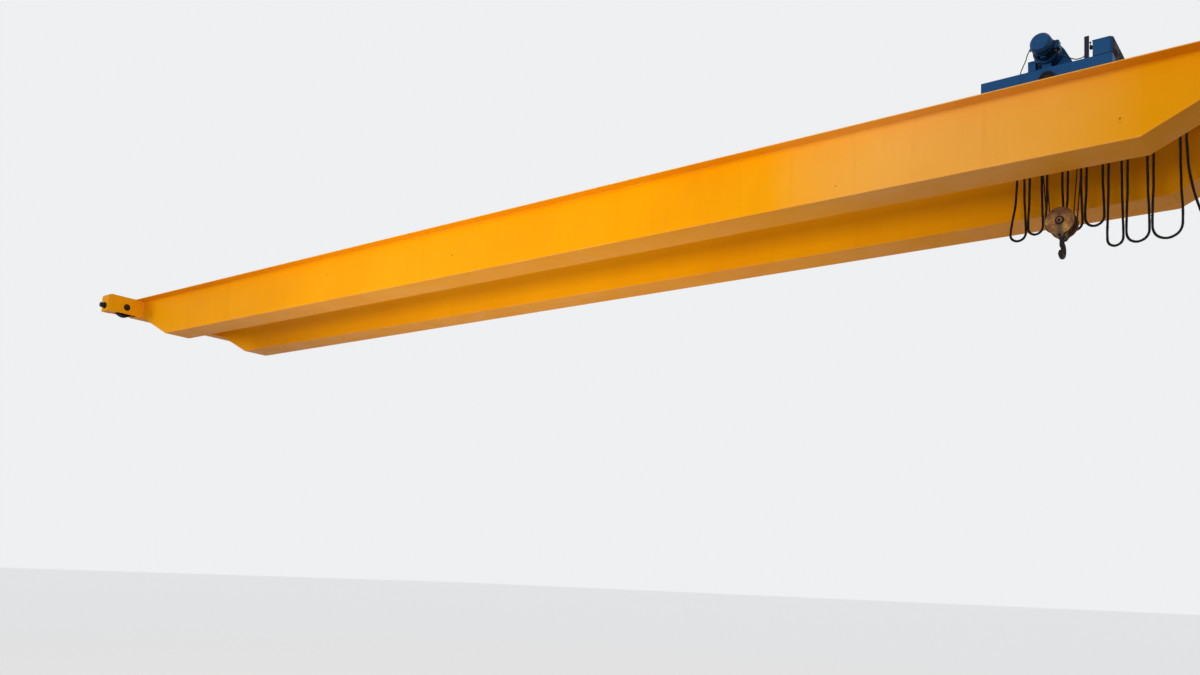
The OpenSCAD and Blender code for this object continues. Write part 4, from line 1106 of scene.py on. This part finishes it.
def dressBlock(look):
    caps, rows = [], []
    for side in (-1, 1):
        x, y, z, aim = look["x"], side * look["guardOut"], look["z"], (0, side, 0)
        caps.append(turned(look["cap"], (x, y, z), aim, 40))
        rows += ringRows((x, y + side * look["capFace"], z), aim, *look["capBolts"])
        rows.append(((x, side * look["tieOut"], look["tieZ"]), aim, look["tieBolt"]))
        rows += ringRows((x, y, z), aim, *look["guardBolts"])
    joinPiece("axle_end_caps", caps, "hook_steel", "hook_block")
    boltPiece("block_bolts", rows, "hook_steel", "hook_block")
    print("hook block fittings")


dressBlock(block)


# carriers: a bolt through each side of the saddle

carrierBolts = {"boltX": 0.028, "boltZ": 0.296, "faceY": 0.018, "size": 0.42}


def boltCarriers(look):
    for body, back in zip(carrierBodies, festoon["carrierBack"]):
        x = festoon["anchorX"] - back
        rows = []
        for side in (-1, 1):
            for way in (-1, 1):
                place = (x + way * look["boltX"], festoon["trackY"] + side * look["faceY"], look["boltZ"])
                rows.append((place, (0, side, 0), look["size"]))
        boltPiece(f"{body}_bolts", rows, "track_steel", body)
    print("carrier bolts")


boltCarriers(carrierBolts)


# rope falls: two from the drum and two from the equaliser, down to the block's sheaves

falls = {
    "diameter": 0.016, "sideY": 0.095, "blockZ": -0.865, "topZ": 0.580, "steps": 30,
    "ends": [(20.437, 20.337), (19.913, 20.013)],  # each source's x, and its sheave side's x
}


def hangRopes(look):
    number = 0
    for topX, lowX in look["ends"]:
        for side in (-1, 1):
            number += 1
            name = f"rope_fall_{number}"
            top = Vector((topX, side * look["sideY"], look["topZ"]))
            low = Vector((lowX, side * look["sideY"], look["blockZ"]))
            base = lineMesh([[top, low]])
            mesh = wireRope.grow(name, base, finishes["rope_steel"], radius=look["diameter"] / 2)
            fall = addPiece(name, mesh, "rope_steel")
            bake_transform(fall)
            if number == 1:
                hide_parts("rope_falls")
    print("rope falls:", number)


hangRopes(falls)


# cables of the hoist motor: one to a gland on the post's foot, one to a gland on the side frame

motorCables = {
    "diameter": 0.012, "smoothness": 4, "sides": 12, "across": (0.3, 1, 0.1), "glandBack": 0.017,
    "right": [
        (20.394, -1.179, 0.895), (20.400, -1.177, 0.873), (20.411, -1.174, 0.854), (20.432, -1.167, 0.837),
        (20.462, -1.156, 0.821), (20.499, -1.142, 0.805), (20.536, -1.129, 0.787), (20.570, -1.117, 0.771),
        (20.602, -1.108, 0.761), (20.633, -1.102, 0.759), (20.661, -1.098, 0.764), (20.688, -1.095, 0.772)],
    "left": [
        (20.107, -1.262, 0.930), (20.096, -1.263, 0.919), (20.087, -1.262, 0.904), (20.079, -1.259, 0.884),
        (20.070, -1.251, 0.862), (20.057, -1.237, 0.839), (20.038, -1.216, 0.818), (20.015, -1.189, 0.799),
        (19.992, -1.159, 0.782), (19.973, -1.132, 0.767), (19.961, -1.113, 0.754), (19.954, -1.100, 0.741)],
    # the far gland's place and aim, and the size of the near one
    "glands": {"right": ((20.700, -1.095, 0.776), (-1, 0, -0.3), 1.0),
               "left": ((19.954, -1.100, 0.7255), (0, 0, 1), 1.6)},
    "gland": [(0, -0.002), (0.011, -0.002), (0.012, 0.004), (0.012, 0.010), (0.010, 0.012), (0.010, 0.015),
              (0.0075, 0.018), (0, 0.018)],
}


def runMotorCables(look):
    glands = []
    for label, (farPlace, farAim, size) in look["glands"].items():
        name = f"motor_cable_{label}"
        points = [Vector(p) for p in look[label]]
        line = smoothLine(points, look["smoothness"])
        mesh = tubeMesh(name, line, roundProfile(look["diameter"], look["sides"]), Vector(look["across"]))
        cable = addPiece(name, mesh, "cable_sheath", "trolley")
        aim = (points[1] - points[0]).normalized()
        near = [(r * size, h * size) for r, h in look["gland"]]
        glands.append(turned(near, points[0] - aim * look["glandBack"] * size, aim, 6))
        glands.append(turned(look["gland"], farPlace, farAim, 6))
    joinPiece("cable_glands", glands, "track_steel", "trolley")
    print("motor cables")


runMotorCables(motorCables)
